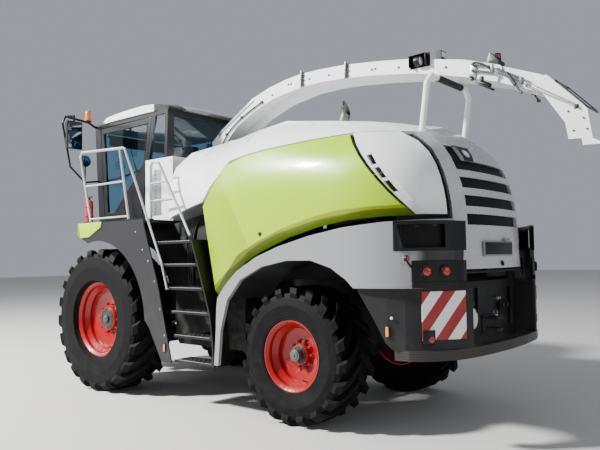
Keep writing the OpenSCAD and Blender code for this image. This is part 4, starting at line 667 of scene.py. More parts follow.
class Piece:
    """A new mesh piece that rides on a body."""

    def __init__(self, name: str, finish: str, slot: str, body: str = "chassis") -> None:
        """Starts an empty mesh.

        Args:
            name: The piece's name.
            finish: Key in FINISHES.
            slot: Slot of the record; not used.
            body: Body that it rides on.
        """
        self.name = name
        self.finish = finish
        self.body = body
        self.slot = slot
        self.bm = bmesh.new()

    def box(self, low: Point, high: Point, turn: Matrix | None = None) -> None:
        """Adds a box.

        Args:
            low: Lowest corner.
            high: Highest corner.
            turn: Matrix applied after the box is in place.
        """
        size = Vector(high) - Vector(low)
        made = bmesh.ops.create_cube(self.bm, size=1.0)["verts"]
        bmesh.ops.scale(self.bm, vec=size, verts=made)
        bmesh.ops.translate(self.bm, vec=Vector(low) + size / 2, verts=made)
        if turn is not None:
            bmesh.ops.transform(self.bm, matrix=turn, verts=made)

    def drum(self, centre: Point, axis: Point, radius: float, length: float, end: float | None = None,
             sides: int = 32) -> None:
        """Adds a closed cylinder or cone.

        Args:
            centre: Middle of its axis.
            axis: Direction of its axis.
            radius: Radius at the start.
            length: Length along the axis.
            end: Radius at the end, when it differs.
            sides: Number of sides.
        """
        made = bmesh.ops.create_cone(self.bm, cap_ends=True, segments=sides, radius1=radius,
                                     radius2=radius if end is None else end, depth=length)["verts"]
        bmesh.ops.transform(self.bm, matrix=aim(centre, axis), verts=made)

    def plate(self, outline: Sequence[Flat], near: float, far: float) -> None:
        """Adds a flat plate across Y with a free outline.

        Args:
            outline: Corners, as x and z.
            near: Where the plate starts along Y.
            far: Where it ends.
        """
        face = self.bm.faces.new([self.bm.verts.new((x, near, z)) for x, z in outline])
        top = verts_of(bmesh.ops.extrude_face_region(self.bm, geom=[face])["geom"])
        bmesh.ops.translate(self.bm, vec=(0, far - near, 0), verts=top)

    def ring(self, centre: Point, axis: Point, major: float, minor: float, steps: int = 48) -> None:
        """Adds a round ring.

        Args:
            centre: Its middle.
            axis: Direction across it.
            major: Radius of its centre line.
            minor: Radius of its section.
            steps: Steps round it.
        """
        section = bmesh.ops.create_circle(self.bm, segments=10, radius=minor)["verts"]
        upright = Matrix.Translation((major, 0, 0)) @ Matrix.Rotation(math.pi / 2, 4, "X")
        bmesh.ops.transform(self.bm, matrix=upright, verts=section)
        edges = list({e for v in section for e in v.link_edges})
        before = set(self.bm.verts) - set(section)
        bmesh.ops.spin(self.bm, geom=section + edges, cent=(0, 0, 0), axis=UP, angle=math.tau, steps=steps,
                       use_merge=True, use_duplicate=False)
        made = [v for v in self.bm.verts if v not in before]
        bmesh.ops.transform(self.bm, matrix=aim(centre, axis), verts=made)

    def ball(self, centre: Point, axis: Point, radius: float, height: float) -> None:
        """Adds a ball that is flattened along an axis.

        Args:
            centre: Its middle.
            axis: The flattened direction.
            radius: Radius across the axis.
            height: Half height along the axis.
        """
        made = bmesh.ops.create_uvsphere(self.bm, u_segments=24, v_segments=12, radius=radius)["verts"]
        bmesh.ops.scale(self.bm, vec=(1, 1, height / radius), verts=made)
        bmesh.ops.transform(self.bm, matrix=aim(centre, axis), verts=made)

    def pipe(self, points: Sequence[Point], radius: float, sides: int = 3, smooth: bool = True) -> None:
        """Adds a closed pipe or hose along a route.

        Args:
            points: The route.
            radius: The pipe's radius.
            sides: Bevel resolution of the pipe.
            smooth: Rounds the route between its points.
        """
        data = bpy.data.curves.new("route", "CURVE")
        data.dimensions = "3D"
        data.bevel_depth = radius
        data.bevel_resolution = sides
        data.use_fill_caps = True
        spline = data.splines.new("NURBS" if smooth else "POLY")
        spline.points.add(len(points) - 1)
        for spot, place in zip(spline.points, points):
            spot.co = (*place, 1.0)
        if smooth:
            spline.use_endpoint_u = True
            spline.order_u = min(4, len(points))
            spline.resolution_u = 6
        holder = bpy.data.objects.new("route", data)
        mesh = bpy.data.meshes.new_from_object(holder)
        self.bm.from_mesh(mesh)
        bpy.data.objects.remove(holder)
        bpy.data.curves.remove(data)
        bpy.data.meshes.remove(mesh)

    def bevel(self, width: float, segments: int = 2, angle: float = 0.5) -> None:
        """Rounds the sharp edges.

        Args:
            width: Width of the bevel.
            segments: Segments across it.
            angle: Least angle of a rounded edge, in radians.
        """
        edges = [e for e in self.bm.edges if e.is_manifold and e.calc_face_angle(0.0) > angle]
        bmesh.ops.bevel(self.bm, geom=edges, offset=width, segments=segments, profile=0.5,
                        affect="EDGES", material=-1)

    def place(self, mirror: bool = False, soft: float = 0.0, segments: int = 2) -> bpy.types.Object:
        """Turns the mesh into an object and hangs it on its body.

        Args:
            mirror: Adds the same shape on the other side of the machine.
            soft: Width of the rounding of its sharp edges.
            segments: Segments across the rounding.

        Returns:
            The finished object.
        """
        if soft > 0:
            self.bevel(soft, segments)
        if mirror:
            copy = bmesh.ops.duplicate(self.bm, geom=self.bm.verts[:] + self.bm.edges[:] + self.bm.faces[:])
            bmesh.ops.scale(self.bm, vec=(1.0, -1.0, 1.0), verts=verts_of(copy["geom"]))
        bmesh.ops.recalc_face_normals(self.bm, faces=self.bm.faces[:])
        mesh = bpy.data.meshes.new(self.name)
        self.bm.to_mesh(mesh)
        self.bm.free()
        piece = bpy.data.objects.new(self.name, mesh)
        bpy.context.scene.collection.objects.link(piece)
        return finish_piece(piece, self.finish, self.body)


def finish_piece(piece: bpy.types.Object, finish: str, body: str) -> bpy.types.Object:
    """Gives a piece its material, smooth shading and body.

    Args:
        piece: The object.
        finish: Key in FINISHES.
        body: Body that it rides on.

    Returns:
        The same object.
    """
    piece.data.materials.clear()
    piece.data.materials.append(Palette.get(finish))
    piece.data.shade_smooth()
    piece.data.set_sharp_from_angle(angle=math.radians(SHARP_ANGLE))
    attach(piece, body)
    LOG.info("%s: %d faces on %s", piece.name, len(piece.data.polygons), body)
    return piece


class Skin:
    """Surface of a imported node, to seat fittings on."""

    def __init__(self, name: str) -> None:
        """Reads the node's mesh.

        Args:
            name: The node's name.
        """
        bm = bmesh.new()
        bm.from_mesh(frame["nodes"][name].data)
        self.tree = BVHTree.FromBMesh(bm)
        bm.free()

    def hit(self, start: Point, way: Point) -> tuple[Vector, Vector]:
        """Finds where a straight line first meets the surface.

        Args:
            start: Where the line starts.
            way: Its direction.

        Returns:
            The point and the surface's normal, turned towards the start.
        """
        spot, normal, _, _ = self.tree.ray_cast(Vector(start), Vector(way).normalized())
        if spot is None:
            raise ValueError(f"no surface on the line from {start}")
        return spot, normal if normal.dot(Vector(way)) < 0 else -normal


class FrameDresser:
    """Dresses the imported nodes: every node gets a finish, and most get softened edges."""

    soft_edge: float = 0.004
    edge_angle: float = 35.0
    weld: float = 0.00002
    flat_angle: float = 1.0
    looks = {"cab_roof": "roof_shell", "rear_fenders": "fender_shell", "rear_skirts": "skirt_shell",
             "tailgate": "tailgate_shell", "handrails": "rail_silver", "ladder": "ladder_black"}
    plain = ("tyre_front_left", "tyre_front_right", "tyre_rear_left", "tyre_rear_right", "cab_glass",
             "door_glass")

    def __init__(self, packed: dict) -> None:
        """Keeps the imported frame.
        """
        self.nodes = packed["nodes"]
        self.slots = {s["node"]: s["material_slot"] for s in packed["record"]["subparts"]}
        self.bodies = {n: b for b, ns in packed["record"]["behaviour"]["bodies"].items() for n in ns}

    def dress(self) -> None:
        """Dresses every node."""
        for name, node in self.nodes.items():
            slot = self.slots[name]
            if name in self.plain:
                node.data.materials.clear()
                node.data.materials.append(Palette.get(slot))
            else:
                self.soften(name, node, slot)

    def soften(self, name: str, node: bpy.types.Object, slot: str) -> None:
        """Stands a smooth copy with rounded edges in for a node.

        Args:
            name: The node's name.
            node: The node's object.
            slot: Its slot, which is also its finish unless looks names another.
        """
        bm = bmesh.new()
        bm.from_mesh(node.data)
        bmesh.ops.remove_doubles(bm, verts=bm.verts[:], dist=self.weld)
        flat = math.radians(self.flat_angle)
        bmesh.ops.dissolve_limit(bm, angle_limit=flat, verts=bm.verts[:], edges=bm.edges[:])
        mesh = bpy.data.meshes.new(f"{name}_skin")
        bm.to_mesh(mesh)
        bm.free()
        copy = bpy.data.objects.new(f"{name}_skin", mesh)
        bpy.context.scene.collection.objects.link(copy)
        finish_piece(copy, self.looks.get(name, slot), self.bodies[name])
        edge = copy.modifiers.new("soft_edge", "BEVEL")
        edge.width = self.soft_edge
        edge.segments = 2
        edge.limit_method = "ANGLE"
        edge.angle_limit = math.radians(self.edge_angle)
        edge.use_clamp_overlap = True
        edge.harden_normals = False
        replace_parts(copy, name)


@dataclass
class WheelTrim:
    """Hub face, stub, nuts, valve and bead ring of one wheel."""

    body: str
    node: str
    side: Side
    axle_x: float
    height: float
    hub_r: float
    nut_ring: float
    bead_r: float
    bead_y: float
    stub_r: float
    stub_out: float
    nuts: int = 10
    rim_gap: float = 0.008
    bolt_share: float = 0.80
    valve_angle: float = -1.1

    @classmethod
    def pair(cls, end: str, **sizes: float) -> list["WheelTrim"]:
        """Makes the left and the right wheel of an axle.

        Args:
            end: front or rear.
            **sizes: Sizes of both wheels.

        Returns:
            The left wheel, then the right one.
        """
        hands = [(side, side.name.lower()) for side in Side]
        return [cls(f"{end}_{hand}_wheel", f"rim_{end}_{hand}", side, **sizes) for side, hand in hands]

    def build(self) -> None:
        """Makes the wheel's fittings."""
        out = Vector((0.0, self.side.value, 0.0))
        skin = Skin(self.node)
        middle = Vector((self.axle_x, self.side.value * self.depth(skin, 0.0, 0.0), self.height))
        self.hub(middle, out)
        self.fasteners(skin, out)
        self.bead(out)

    def depth(self, skin: Skin, radius: float, angle: float) -> float:
        """Gives how far out the rim's face lies at a place on the wheel."""
        return abs(skin.hit(self.spot(radius, angle, FAR / 2), (0, -self.side.value, 0))[0].y)

    def spot(self, radius: float, angle: float, depth: float) -> Point:
        """Gives a place on the wheel.

        Args:
            radius: Distance from the axle.
            angle: Angle round it, in radians.
            depth: Distance from the machine's middle plane.

        Returns:
            The place.
        """
        x = self.axle_x + radius * math.cos(angle)
        return x, self.side.value * depth, self.height + radius * math.sin(angle)

    def hub(self, middle: Vector, out: Vector) -> None:
        """Makes the dark hub face and the grey stub in it."""
        dark = Piece(f"{self.body}_hub_face", "hub_dark", "frame_paint", self.body)
        rim = self.hub_r - self.rim_gap
        bolts = rim * self.bolt_share
        dark.drum(middle + out * 0.003, out, rim, 0.010, end=rim - 0.006, sides=64)
        dark.ring(middle + out * 0.0072, out, bolts, 0.004)
        for k in range(self.nuts):
            angle = math.tau * (k + 0.5) / self.nuts
            dark.drum(self.spot(bolts, angle, abs(middle.y) + 0.010), out, 0.007, 0.012, sides=6)
        dark.place(soft=0.0012)
        stub = Piece(f"{self.body}_hub_stub", "hub_grey", "bare_steel", self.body)
        stub.drum(middle + out * (self.stub_out / 2 + 0.004), out, self.stub_r, self.stub_out, sides=48)
        stub.drum(middle + out * (self.stub_out + 0.006), out, self.stub_r * 0.72, 0.010, sides=48)
        stub.drum(middle + out * (self.stub_out + 0.014), out, self.stub_r * 0.22, 0.014, sides=6)
        stub.place(soft=0.004, segments=3)

    def fasteners(self, skin: Skin, out: Vector) -> None:
        """Makes the wheel nuts with their stud ends, and the valve."""
        nuts = Piece(f"{self.body}_nuts", "nut_red", "rim_red", self.body)
        for k in range(self.nuts):
            angle = math.tau * k / self.nuts
            face = self.depth(skin, self.nut_ring, angle)
            nuts.drum(self.spot(self.nut_ring, angle, face + 0.002), out, 0.0165, 0.008, sides=6)
            nuts.drum(self.spot(self.nut_ring, angle, face + 0.010), out, 0.0075, 0.022, sides=16)
        nuts.place(soft=0.0012)
        valve = Piece(f"{self.body}_valve", "hub_dark", "frame_paint", self.body)
        base = self.spot(self.bead_r - 0.075, self.valve_angle, self.bead_y - 0.10)
        tip = self.spot(self.bead_r - 0.095, self.valve_angle, self.bead_y - 0.045)
        valve.pipe([base, tip], 0.006, smooth=False)
        valve.drum(tip, out, 0.008, 0.016, sides=12)
        valve.place()

    def bead(self, out: Vector) -> None:
        """Makes the rubber bead ring round the rim."""
        rings = Piece(f"{self.body}_bead", "tyre", "tyre", self.body)
        rings.ring(self.spot(0.0, 0.0, self.bead_y + 0.002), out, self.bead_r + 0.014, 0.011, steps=96)
        rings.place()


@dataclass
class RearEnd:
    """Lamps, trims, window surround, plate and small fittings at the back."""

    half_w: float = 1.448
    plan_start: float = 1.5
    plan_end: float = 2.77
    plan_power: float = 3.2
    strip_depth: float = 0.004
    lamp_spots: Flat = (2.500, 2.606)
    lamp_z: float = 1.546
    lens_r: float = 0.040
    window_start: float = 2.272
    window_end: float = 2.700
    window_low: float = 1.752
    window_high: float = 1.958
    mesh_start: float = 2.29
    mesh_long: float = 0.33
    mesh_back: float = 0.046
    band_start: float = 2.405
    arm_x: float = 2.398
    arm_head: Point = (2.392, -1.338, 1.662)
    outline_r: float = 0.022
    side_markers: tuple[tuple[str, float, float], ...] = (("rear_skirts", 2.185, 1.02),
                                                          ("platform", -0.770, 0.66))
    skirt_lamp_at: Flat = (2.22, 1.14)
    board_start: Flat = (2.448, -1.196)
    board_end: Flat = (2.698, -0.850)
    plate_low: Flat = (-0.385, 1.684)
    plate_high: Flat = (0.255, 1.802)
    plate_rim: float = 0.014
    latch_z: float = 1.600
    panel_left: float = -0.440
    panel_wide: float = 0.290
    panel_lean: float = -0.080
    panel_low: float = 2.580
    panel_tall: float = 0.170
    lamp_at: Flat = (-0.300, 2.672)
    wall_x: float = 2.503
    socket_spots: tuple[Flat, ...] = ((0.30, 1.16), (0.40, 1.16), (-0.42, 1.22))
    coupling_z: float = 1.24
    pin_x: float = 2.600

    def build(self) -> None:
        """Makes every fitting of the back."""
        self.lenses()
        self.window()
        self.seams()
        self.outline_lamps()
        self.markers()
        self.board_feet()
        self.plate()
        self.latch()
        self.lamp_panel()
        self.wall_fittings()

    def plan_y(self, x: float) -> float:
        """Half width of the mudguard's plan.

        Args:
            x: Place along the machine.

        Returns:
            The half width there.
        """
        share = (x - self.plan_start) / (self.plan_end - self.plan_start)
        return self.half_w * (1 - max(0.0, share) ** self.plan_power) ** (1 / self.plan_power)

    def outward(self, x: float) -> Vector:
        """Direction that looks out of the left mudguard.

        Args:
            x: Place along the machine.

        Returns:
            The direction.
        """
        fall = self.plan_y(x + 0.01) - self.plan_y(x - 0.01)
        return Vector((-fall, -0.02, 0)).normalized()

    def follow(self, x: float, z: float, proud: float) -> Vector:
        """Place that stands off the left mudguard.

        Args:
            x: Place along the machine.
            z: Height.
            proud: Distance from the mudguard, negative inside it.

        Returns:
            The place.
        """
        return Vector((x, -self.plan_y(x), z)) + self.outward(x) * proud

    def strip(self, piece: Piece, low: Flat, high: Flat, proud: float) -> None:
        """Adds a thin cover that follows the left mudguard.

        Args:
            piece: The piece that gets it.
            low: Its start x and lowest z.
            high: Its end x and highest z.
            proud: How far it stands off the mudguard.
        """
        made = bmesh.ops.create_grid(piece.bm, x_segments=24, y_segments=2, size=0.5)["verts"]
        faces = list({f for v in made for f in v.link_faces})
        for vert in made:
            x = low[0] + (high[0] - low[0]) * (vert.co.x + 0.5)
            z = low[1] + (high[1] - low[1]) * (vert.co.y + 0.5)
            vert.co = self.follow(x, z, proud)
        bmesh.ops.recalc_face_normals(piece.bm, faces=faces)
        for vert in verts_of(bmesh.ops.extrude_face_region(piece.bm, geom=faces)["geom"]):
            vert.co -= self.outward(vert.co.x) * (proud + self.strip_depth)

    def lenses(self) -> None:
        """Makes the round red lamps with their black bezels."""
        lens = Piece("tail_lenses", "red_lens", "beacon_amber")
        bezel = Piece("tail_bezels", "lamp_box", "lamp_box")
        for x in self.lamp_spots:
            way, spot = self.outward(x), self.follow(x, self.lamp_z, 0.024)
            lens.ball(spot, way, self.lens_r, 0.016)
            bezel.ring(spot, way, self.lens_r + 0.006, 0.009)
        lens.place(mirror=True)
        bezel.place(mirror=True)

    def window(self) -> None:
        """Makes the black surround and the mesh of the corner windows."""
        start, end, low, high = self.window_start, self.window_end, self.window_low, self.window_high
        surround = Piece("window_surround", "trim_black", "lamp_box")
        for first, last in (((start, low - 0.024), (start + 0.034, high + 0.020)),
                            ((end - 0.090, low - 0.024), (end, high + 0.030)),
                            ((start, high + 0.002), (end, high + 0.030)),
                            ((start + 0.028, low - 0.026), (end, low - 0.002))):
            self.strip(surround, first, last, 0.004)
        surround.place(mirror=True)
        mesh = Piece("window_mesh", "mesh_black", "mesh_black")
        made = bmesh.ops.create_grid(mesh.bm, x_segments=28, y_segments=10, size=0.5)["verts"]
        for vert in made:
            x = self.mesh_start + self.mesh_long * (vert.co.x + 0.5)
            z = low - 0.012 + (high - low + 0.024) * (vert.co.y + 0.5)
            vert.co = self.follow(x, z, -self.mesh_back)
        for vert in verts_of(bmesh.ops.extrude_face_region(mesh.bm, geom=mesh.bm.faces[:])["geom"]):
            vert.co -= self.outward(vert.co.x) * self.strip_depth
        mesh.place(mirror=True)

    def seams(self) -> None:
        """Makes the black band below the lamps and the bright line over the skirt."""
        band = Piece("lamp_band", "trim_black", "lamp_box")
        self.strip(band, (self.band_start, 1.402), (self.window_end, 1.4525), 0.006)
        band.place(mirror=True)
        line = Piece("skirt_line", "silver_trim", "light_grey_panel")
        self.strip(line, (1.930, 1.4005), (self.band_start - 0.001, 1.408), 0.003)
        line.place(mirror=True)

    def outline_lamps(self) -> None:
        """Makes the outline lamps on rubber arms, white to the front and red to the rear."""
        arm = Piece("outline_lamp_arms", "trim_black", "lamp_box")
        root = Vector((self.arm_x, -self.plan_y(self.arm_x) + 0.01, 1.580))
        head = Vector(self.arm_head)
        arm.pipe([root, root + Vector((0, -0.014, 0.020)), head + Vector((0, 0.004, -0.036)), head], 0.010)
        arm.drum(head, TO_REAR, 0.026, 0.034, sides=24)
        arm.place(soft=0.002, mirror=True)
        lens_out = Vector((0.018, 0, 0))
        white = Piece("outline_lamp_white", "white_lens", "white_panel")
        white.ball(head - lens_out, TO_REAR, self.outline_r, 0.010)
        white.place(mirror=True)
        red = Piece("outline_lamp_red", "red_lens", "beacon_amber")
        red.ball(head + lens_out, TO_REAR, self.outline_r, 0.010)
        red.place(mirror=True)

    def markers(self) -> None:
        """Makes the amber side markers and the small lamp on the skirt."""
        seat = Piece("side_marker_seats", "trim_black", "lamp_box")
        glow = Piece("side_marker_lenses", "amber_marker", "beacon_amber")
        for node, x, z in self.side_markers:
            y = Skin(node).hit((x, -FAR / 2, z), (0, 1, 0))[0].y
            seat.box((x - 0.022, y - 0.010, z - 0.052), (x + 0.022, y + 0.002, z + 0.052))
            glow.box((x - 0.015, y - 0.018, z - 0.042), (x + 0.015, y - 0.009, z + 0.042))
        seat.place(soft=0.003, mirror=True)
        glow.place(soft=0.005, segments=3, mirror=True)
        small = Piece("skirt_lamps", "white_lens", "white_panel")
        x, z = self.skirt_lamp_at
        spot, way = Skin("rear_skirts").hit((x, -FAR / 2, z), (0, 1, 0))
        small.ball(spot + way * 0.012, way, 0.014, 0.012)
        small.place(mirror=True)

    def board_feet(self) -> None:
        """Makes the dark foot with its round reflector at each board's outer corner."""
        start = Vector((*self.board_start, 0.0))
        along = (Vector((*self.board_end, 0.0)) - start).normalized()
        out = Vector((along.y, -along.x, 0.0))
        turn = Matrix.Translation(start) @ Matrix((along, out, Vector(UP))).transposed().to_4x4()
        foot = Piece("board_feet", "trim_black", "lamp_box")
        foot.box((0.0, 0.006, 0.915), (0.118, 0.022, 1.035), turn)
        foot.place(soft=0.006, segments=3, mirror=True)
        lens = Piece("board_reflectors", "red_lens", "beacon_amber")
        lens.drum(turn @ Vector((0.080, 0.024, 0.955)), out, 0.031, 0.010, end=0.026, sides=32)
        lens.place(soft=0.002, mirror=True)

    def plate(self) -> None:
        """Makes the blank plate on the tailgate with its holder and lamp."""
        skin = Skin("tailgate")
        low, high, rim = self.plate_low, self.plate_high, self.plate_rim
        spots = [(FAR, y, z) for y in (low[0], high[0], 0.0) for z in (low[1], high[1])]
        face = max(skin.hit(spot, TO_FRONT)[0].x for spot in spots)
        holder = Piece("plate_holder", "silver_trim", "mesh_black", "tailgate")
        holder.box((face - 0.010, low[0] - rim, low[1] - rim), (face + 0.010, high[0] + rim, high[1] + rim))
        holder.box((face - 0.004, 0.04, high[1] + 0.012), (face + 0.034, 0.15, high[1] + 0.040))
        holder.place(soft=0.004, segments=3)
        blank = Piece("plate_blank", "trim_black", "light_grey_panel", "tailgate")
        blank.box((face + 0.0095, low[0], low[1]), (face + 0.0125, high[0], high[1]))
        blank.place(soft=0.001)

    def latch(self) -> None:
        """Makes the latch low on the tailgate."""
        spot, way = Skin("tailgate").hit((FAR, 0.0, self.latch_z), TO_FRONT)
        grip = Piece("tailgate_latch", "trim_black", "mesh_black", "tailgate")
        grip.drum(spot + way * 0.006, way, 0.024, 0.016, sides=32)
        low, high = self.latch_z - 0.028, self.latch_z + 0.004
        grip.box((spot.x + 0.010, -0.009, low), (spot.x + 0.024, 0.009, high))
        grip.place(soft=0.003)

    def lamp_panel(self) -> None:
        """Makes the black panel beside the slots, with its round lamp."""
        skin = Skin("tailgate")
        panel = Piece("tailgate_lamp_panel", "trim_black", "mesh_black", "tailgate")
        over_slots = []
        for vert in bmesh.ops.create_grid(panel.bm, x_segments=24, y_segments=20, size=0.5)["verts"]:
            across, rise = vert.co.x + 0.5, vert.co.y + 0.5
            y = self.panel_left + self.panel_wide * across + self.panel_lean * (1 - rise)
            try:
                spot, way = skin.hit((FAR, y, self.panel_low + self.panel_tall * rise), TO_FRONT)
                vert.co = spot + way * 0.003
            except ValueError:
                over_slots.append(vert)
        bmesh.ops.delete(panel.bm, geom=over_slots, context="VERTS")
        for vert in verts_of(bmesh.ops.extrude_face_region(panel.bm, geom=panel.bm.faces[:])["geom"]):
            vert.co.x -= 0.008
        panel.place()
        spot, way = skin.hit((FAR, *self.lamp_at), TO_FRONT)
        lamp = Piece("tailgate_lamp", "white_lens", "light_grey_panel", "tailgate")
        lamp.ball(spot + way * 0.006, way, 0.046, 0.014)
        lamp.place()
        rim = Piece("tailgate_lamp_rim", "silver_trim", "light_grey_panel", "tailgate")
        rim.ring(spot + way * 0.005, way, 0.049, 0.004)
        rim.place()

    def wall_fittings(self) -> None:
        """Makes the sockets, couplings and hitch pin at the back wall."""
        box = Piece("wall_sockets", "trim_black", "frame_paint")
        for y, z in self.socket_spots:
            box.box((self.wall_x, y - 0.036, z - 0.040), (self.wall_x + 0.042, y + 0.036, z + 0.040))
            box.drum((self.wall_x + 0.049, y, z), TO_REAR, 0.028, 0.030, sides=24)
        box.box((self.wall_x, -0.24, 1.12), (self.wall_x + 0.027, -0.20, 1.36))
        box.box((self.wall_x, 0.55, 0.95), (self.wall_x + 0.037, 0.60, 1.34))
        box.place(soft=0.004)
        cocks = Piece("wall_couplings", "bare_steel", "bare_steel")
        for y in (0.16, 0.20, 0.24):
            cocks.drum((self.wall_x + 0.017, y, self.coupling_z), TO_REAR, 0.013, 0.050, sides=20)
            cocks.drum((self.wall_x + 0.045, y, self.coupling_z), TO_REAR, 0.016, 0.014, sides=20)
        cocks.place(soft=0.002)
        pin = Piece("hitch_pin", "bare_steel", "bare_steel")
        pin.drum((self.pin_x, 0.0, 1.085), UP, 0.026, 0.014, sides=24)
        pin.ring((self.pin_x, 0.0, 1.112), (0, 1, 0), 0.020, 0.004)
        pin.place(soft=0.002)


@dataclass
class SpoutTrim:
    """Joint clamps, bolts, lamps, linkage, hoses and pads of the spout."""

    half_w: float = 0.215
    clamps: Flat = (0.335, 0.995)
    clamp_half: float = 0.030
    clamp_lean: float = 0.05
    bolts: tuple[Flat, ...] = ((-0.159, 3.734), (0.110, 3.816), (0.152, 3.816), (0.444, 3.822),
                               (0.741, 3.813), (1.340, 3.757), (1.385, 3.757), (1.684, 3.712),
                               (2.240, 3.600))
    side_lamp_at: Flat = (1.945, 3.715)
    top_lamp_at: Flat = (2.690, 3.660)
    pins: tuple[Flat, ...] = ((2.520, 3.440), (2.545, 3.500), (2.545, 3.560), (2.530, 3.415))
    clips: tuple[Flat, ...] = ((-0.990, 3.342), (-0.700, 3.530), (-0.335, 3.670))
    rest_at: Flat = (2.168, 3.4945)
    camera_x: float = 2.62
    rod_end: Flat = (3.500, 2.992)
    tip_half: float = 0.190
    tip_back: tuple[Flat, ...] = ((3.300, 3.255), (3.440, 3.110), (3.560, 2.985))
    tip_bolts: tuple[Flat, ...] = ((3.430, 2.960), (3.470, 2.780), (3.585, 2.780), (3.560, 2.880))
    foot_spots: tuple[float, ...] = (-1.150, -0.966, -0.800, -0.640, -0.480)
    foot_tall: float = 0.052
    turret_x: float = -0.900
    turret_ring: float = 0.372
    turret_bolts: int = 24

    def build(self) -> None:
        """Makes the spout's fittings."""
        self.joints()
        self.side_lamp()
        self.top_lamp()
        self.linkage()
        self.flap_lever()
        self.hoses()
        self.pads()
        self.tip_rod()
        self.tip_edge()
        self.base()

    def edge(self, skin: Skin, x: float, up: bool) -> float:
        """Finds the height of the spout's upper or lower edge.

        Args:
            skin: The spout's surface.
            x: Place along the machine.
            up: True for the upper edge.

        Returns:
            The height.
        """
        y = -self.half_w + 0.006
        start, way = (5.0, DOWN) if up else (3.0, UP)
        return skin.hit((x, y, start), way)[0].z

    def joints(self) -> None:
        """Makes the two clamped joints and the side bolts."""
        skin = Skin("spout_arch")
        clamp = Piece("spout_clamps", "silver_trim", "light_grey_panel", "spout")
        wide = self.clamp_half
        for x in self.clamps:
            top, low = self.edge(skin, x, True), self.edge(skin, x, False)
            lean = Matrix.Translation((x, 0, (top + low) / 2)) @ Matrix.Rotation(self.clamp_lean, 4, "Y")
            half = (top - low) / 2
            for side in (-1, 1):
                flat = side * (self.half_w + 0.006)
                near, far = sorted((flat, flat - side * 0.012))
                clamp.box((-wide, near, -half - 0.004), (wide, far, half + 0.012), lean)
                near, far = sorted((flat, flat + side * 0.030))
                clamp.box((-0.004, near, -half - 0.004), (0.004, far, half + 0.030), lean)
            clamp.box((-wide, -self.half_w, half + 0.001), (wide, self.half_w, half + 0.010), lean)
        clamp.place(soft=0.0015)
        studs = Piece("spout_bolts", "bolt_dark", "frame_paint", "spout")
        self.studs(studs, self.bolts, 0.013)
        for x in self.clamps:
            for lift in (-0.055, 0.0, 0.055):
                spot = (x + 0.016, -self.half_w - 0.020, self.edge(skin, x, False) + 0.085 + lift)
                studs.drum(spot, TO_REAR, 0.008, 0.030, sides=6)
        studs.place(soft=0.001, mirror=True)

    def studs(self, piece: Piece, spots: Sequence[Flat], radius: float) -> None:
        """Adds bolt heads on the spout's left side.

        Args:
            piece: The piece that gets them.
            spots: Their x and z.
            radius: Their radius.
        """
        for x, z in spots:
            piece.drum((x, -self.half_w - 0.004, z), OUT_LEFT, radius, 0.010, sides=6)

    def side_lamp(self) -> None:
        """Makes the work lamp in its open bracket on the spout's side."""
        x, z = self.side_lamp_at
        wall = -self.half_w
        y = wall - 0.050
        cage = Piece("side_lamp_cage", "trim_black", "lamp_box", "spout")
        cage.box((x - 0.120, wall - 0.008, z - 0.060), (x + 0.120, wall + 0.001, z + 0.085))
        for dx in (-0.100, 0.092):
            cage.box((x + dx, y - 0.020, z - 0.055), (x + dx + 0.008, wall, z + 0.070))
        cage.box((x - 0.100, y - 0.022, z + 0.062), (x + 0.100, wall, z + 0.070))
        cage.drum((x, y + 0.004, z), TO_REAR, 0.050, 0.060, sides=40)
        cage.ring((x + 0.030, y + 0.004, z), TO_REAR, 0.048, 0.006)
        cage.place(soft=0.003)
        lens = Piece("side_lamp_lens", "white_lens", "white_panel", "spout")
        lens.ball((x + 0.032, y + 0.004, z), TO_REAR, 0.042, 0.012)
        lens.place()

    def top_lamp(self) -> None:
        """Makes the lenses and the bent bracket of the lamps on top."""
        x, z = self.top_lamp_at
        red = Piece("top_lamp_lens", "lens_brown", "beacon_amber", "spout")
        red.drum((x, 0.0, z), UP, 0.0465, 0.040, sides=40)
        red.place(soft=0.003)
        cheek = [(x - 0.090, z - 0.075), (x - 0.045, z + 0.030), (x - 0.030, z + 0.036),
                 (x + 0.048, z - 0.058)]
        hood = Piece("top_lamp_hood", "link_grey", "light_grey_panel", "spout")
        for y in (-0.070, 0.064):
            hood.plate(cheek, y, y + 0.006)
        hood.box((x - 0.055, -0.070, z + 0.028), (x - 0.028, 0.070, z + 0.034))
        hood.place(soft=0.0015)
        white = Piece("rear_lamp_lens", "white_lens", "white_panel", "spout")
        white.box((2.108, -0.050, 3.780), (2.114, 0.050, 3.838))
        white.place(soft=0.002)

    def linkage(self) -> None:
        """Makes the links on the spout that lead to the deflector, with their lug and pins."""
        y = -self.half_w - 0.012
        lug = Piece("link_lugs", "silver_trim", "white_panel", "spout")
        lug.plate([(2.490, 3.425), (2.560, 3.400), (2.585, 3.560), (2.520, 3.580)], y, y + 0.013)
        lug.place(soft=0.002)
        pins = Piece("link_pins", "bolt_dark", "frame_paint", "spout")
        for x, z in self.pins:
            pins.drum((x, y - 0.016, z), OUT_LEFT, 0.014, 0.030, sides=16)
        pins.place(soft=0.002)
        bars = Piece("link_bars", "link_grey", "light_grey_panel", "spout")
        for z, radius in ((3.500, 0.011), (3.560, 0.009)):
            bars.pipe([(2.545, y - 0.020, z), (2.745, y - 0.020, z - 0.060)], radius, smooth=False)
        end = [(2.735, 3.425), (2.765, 3.420), (2.765, 3.515), (2.735, 3.520)]
        bars.plate(end, y - 0.032, y - 0.024)
        bars.place(soft=0.001)

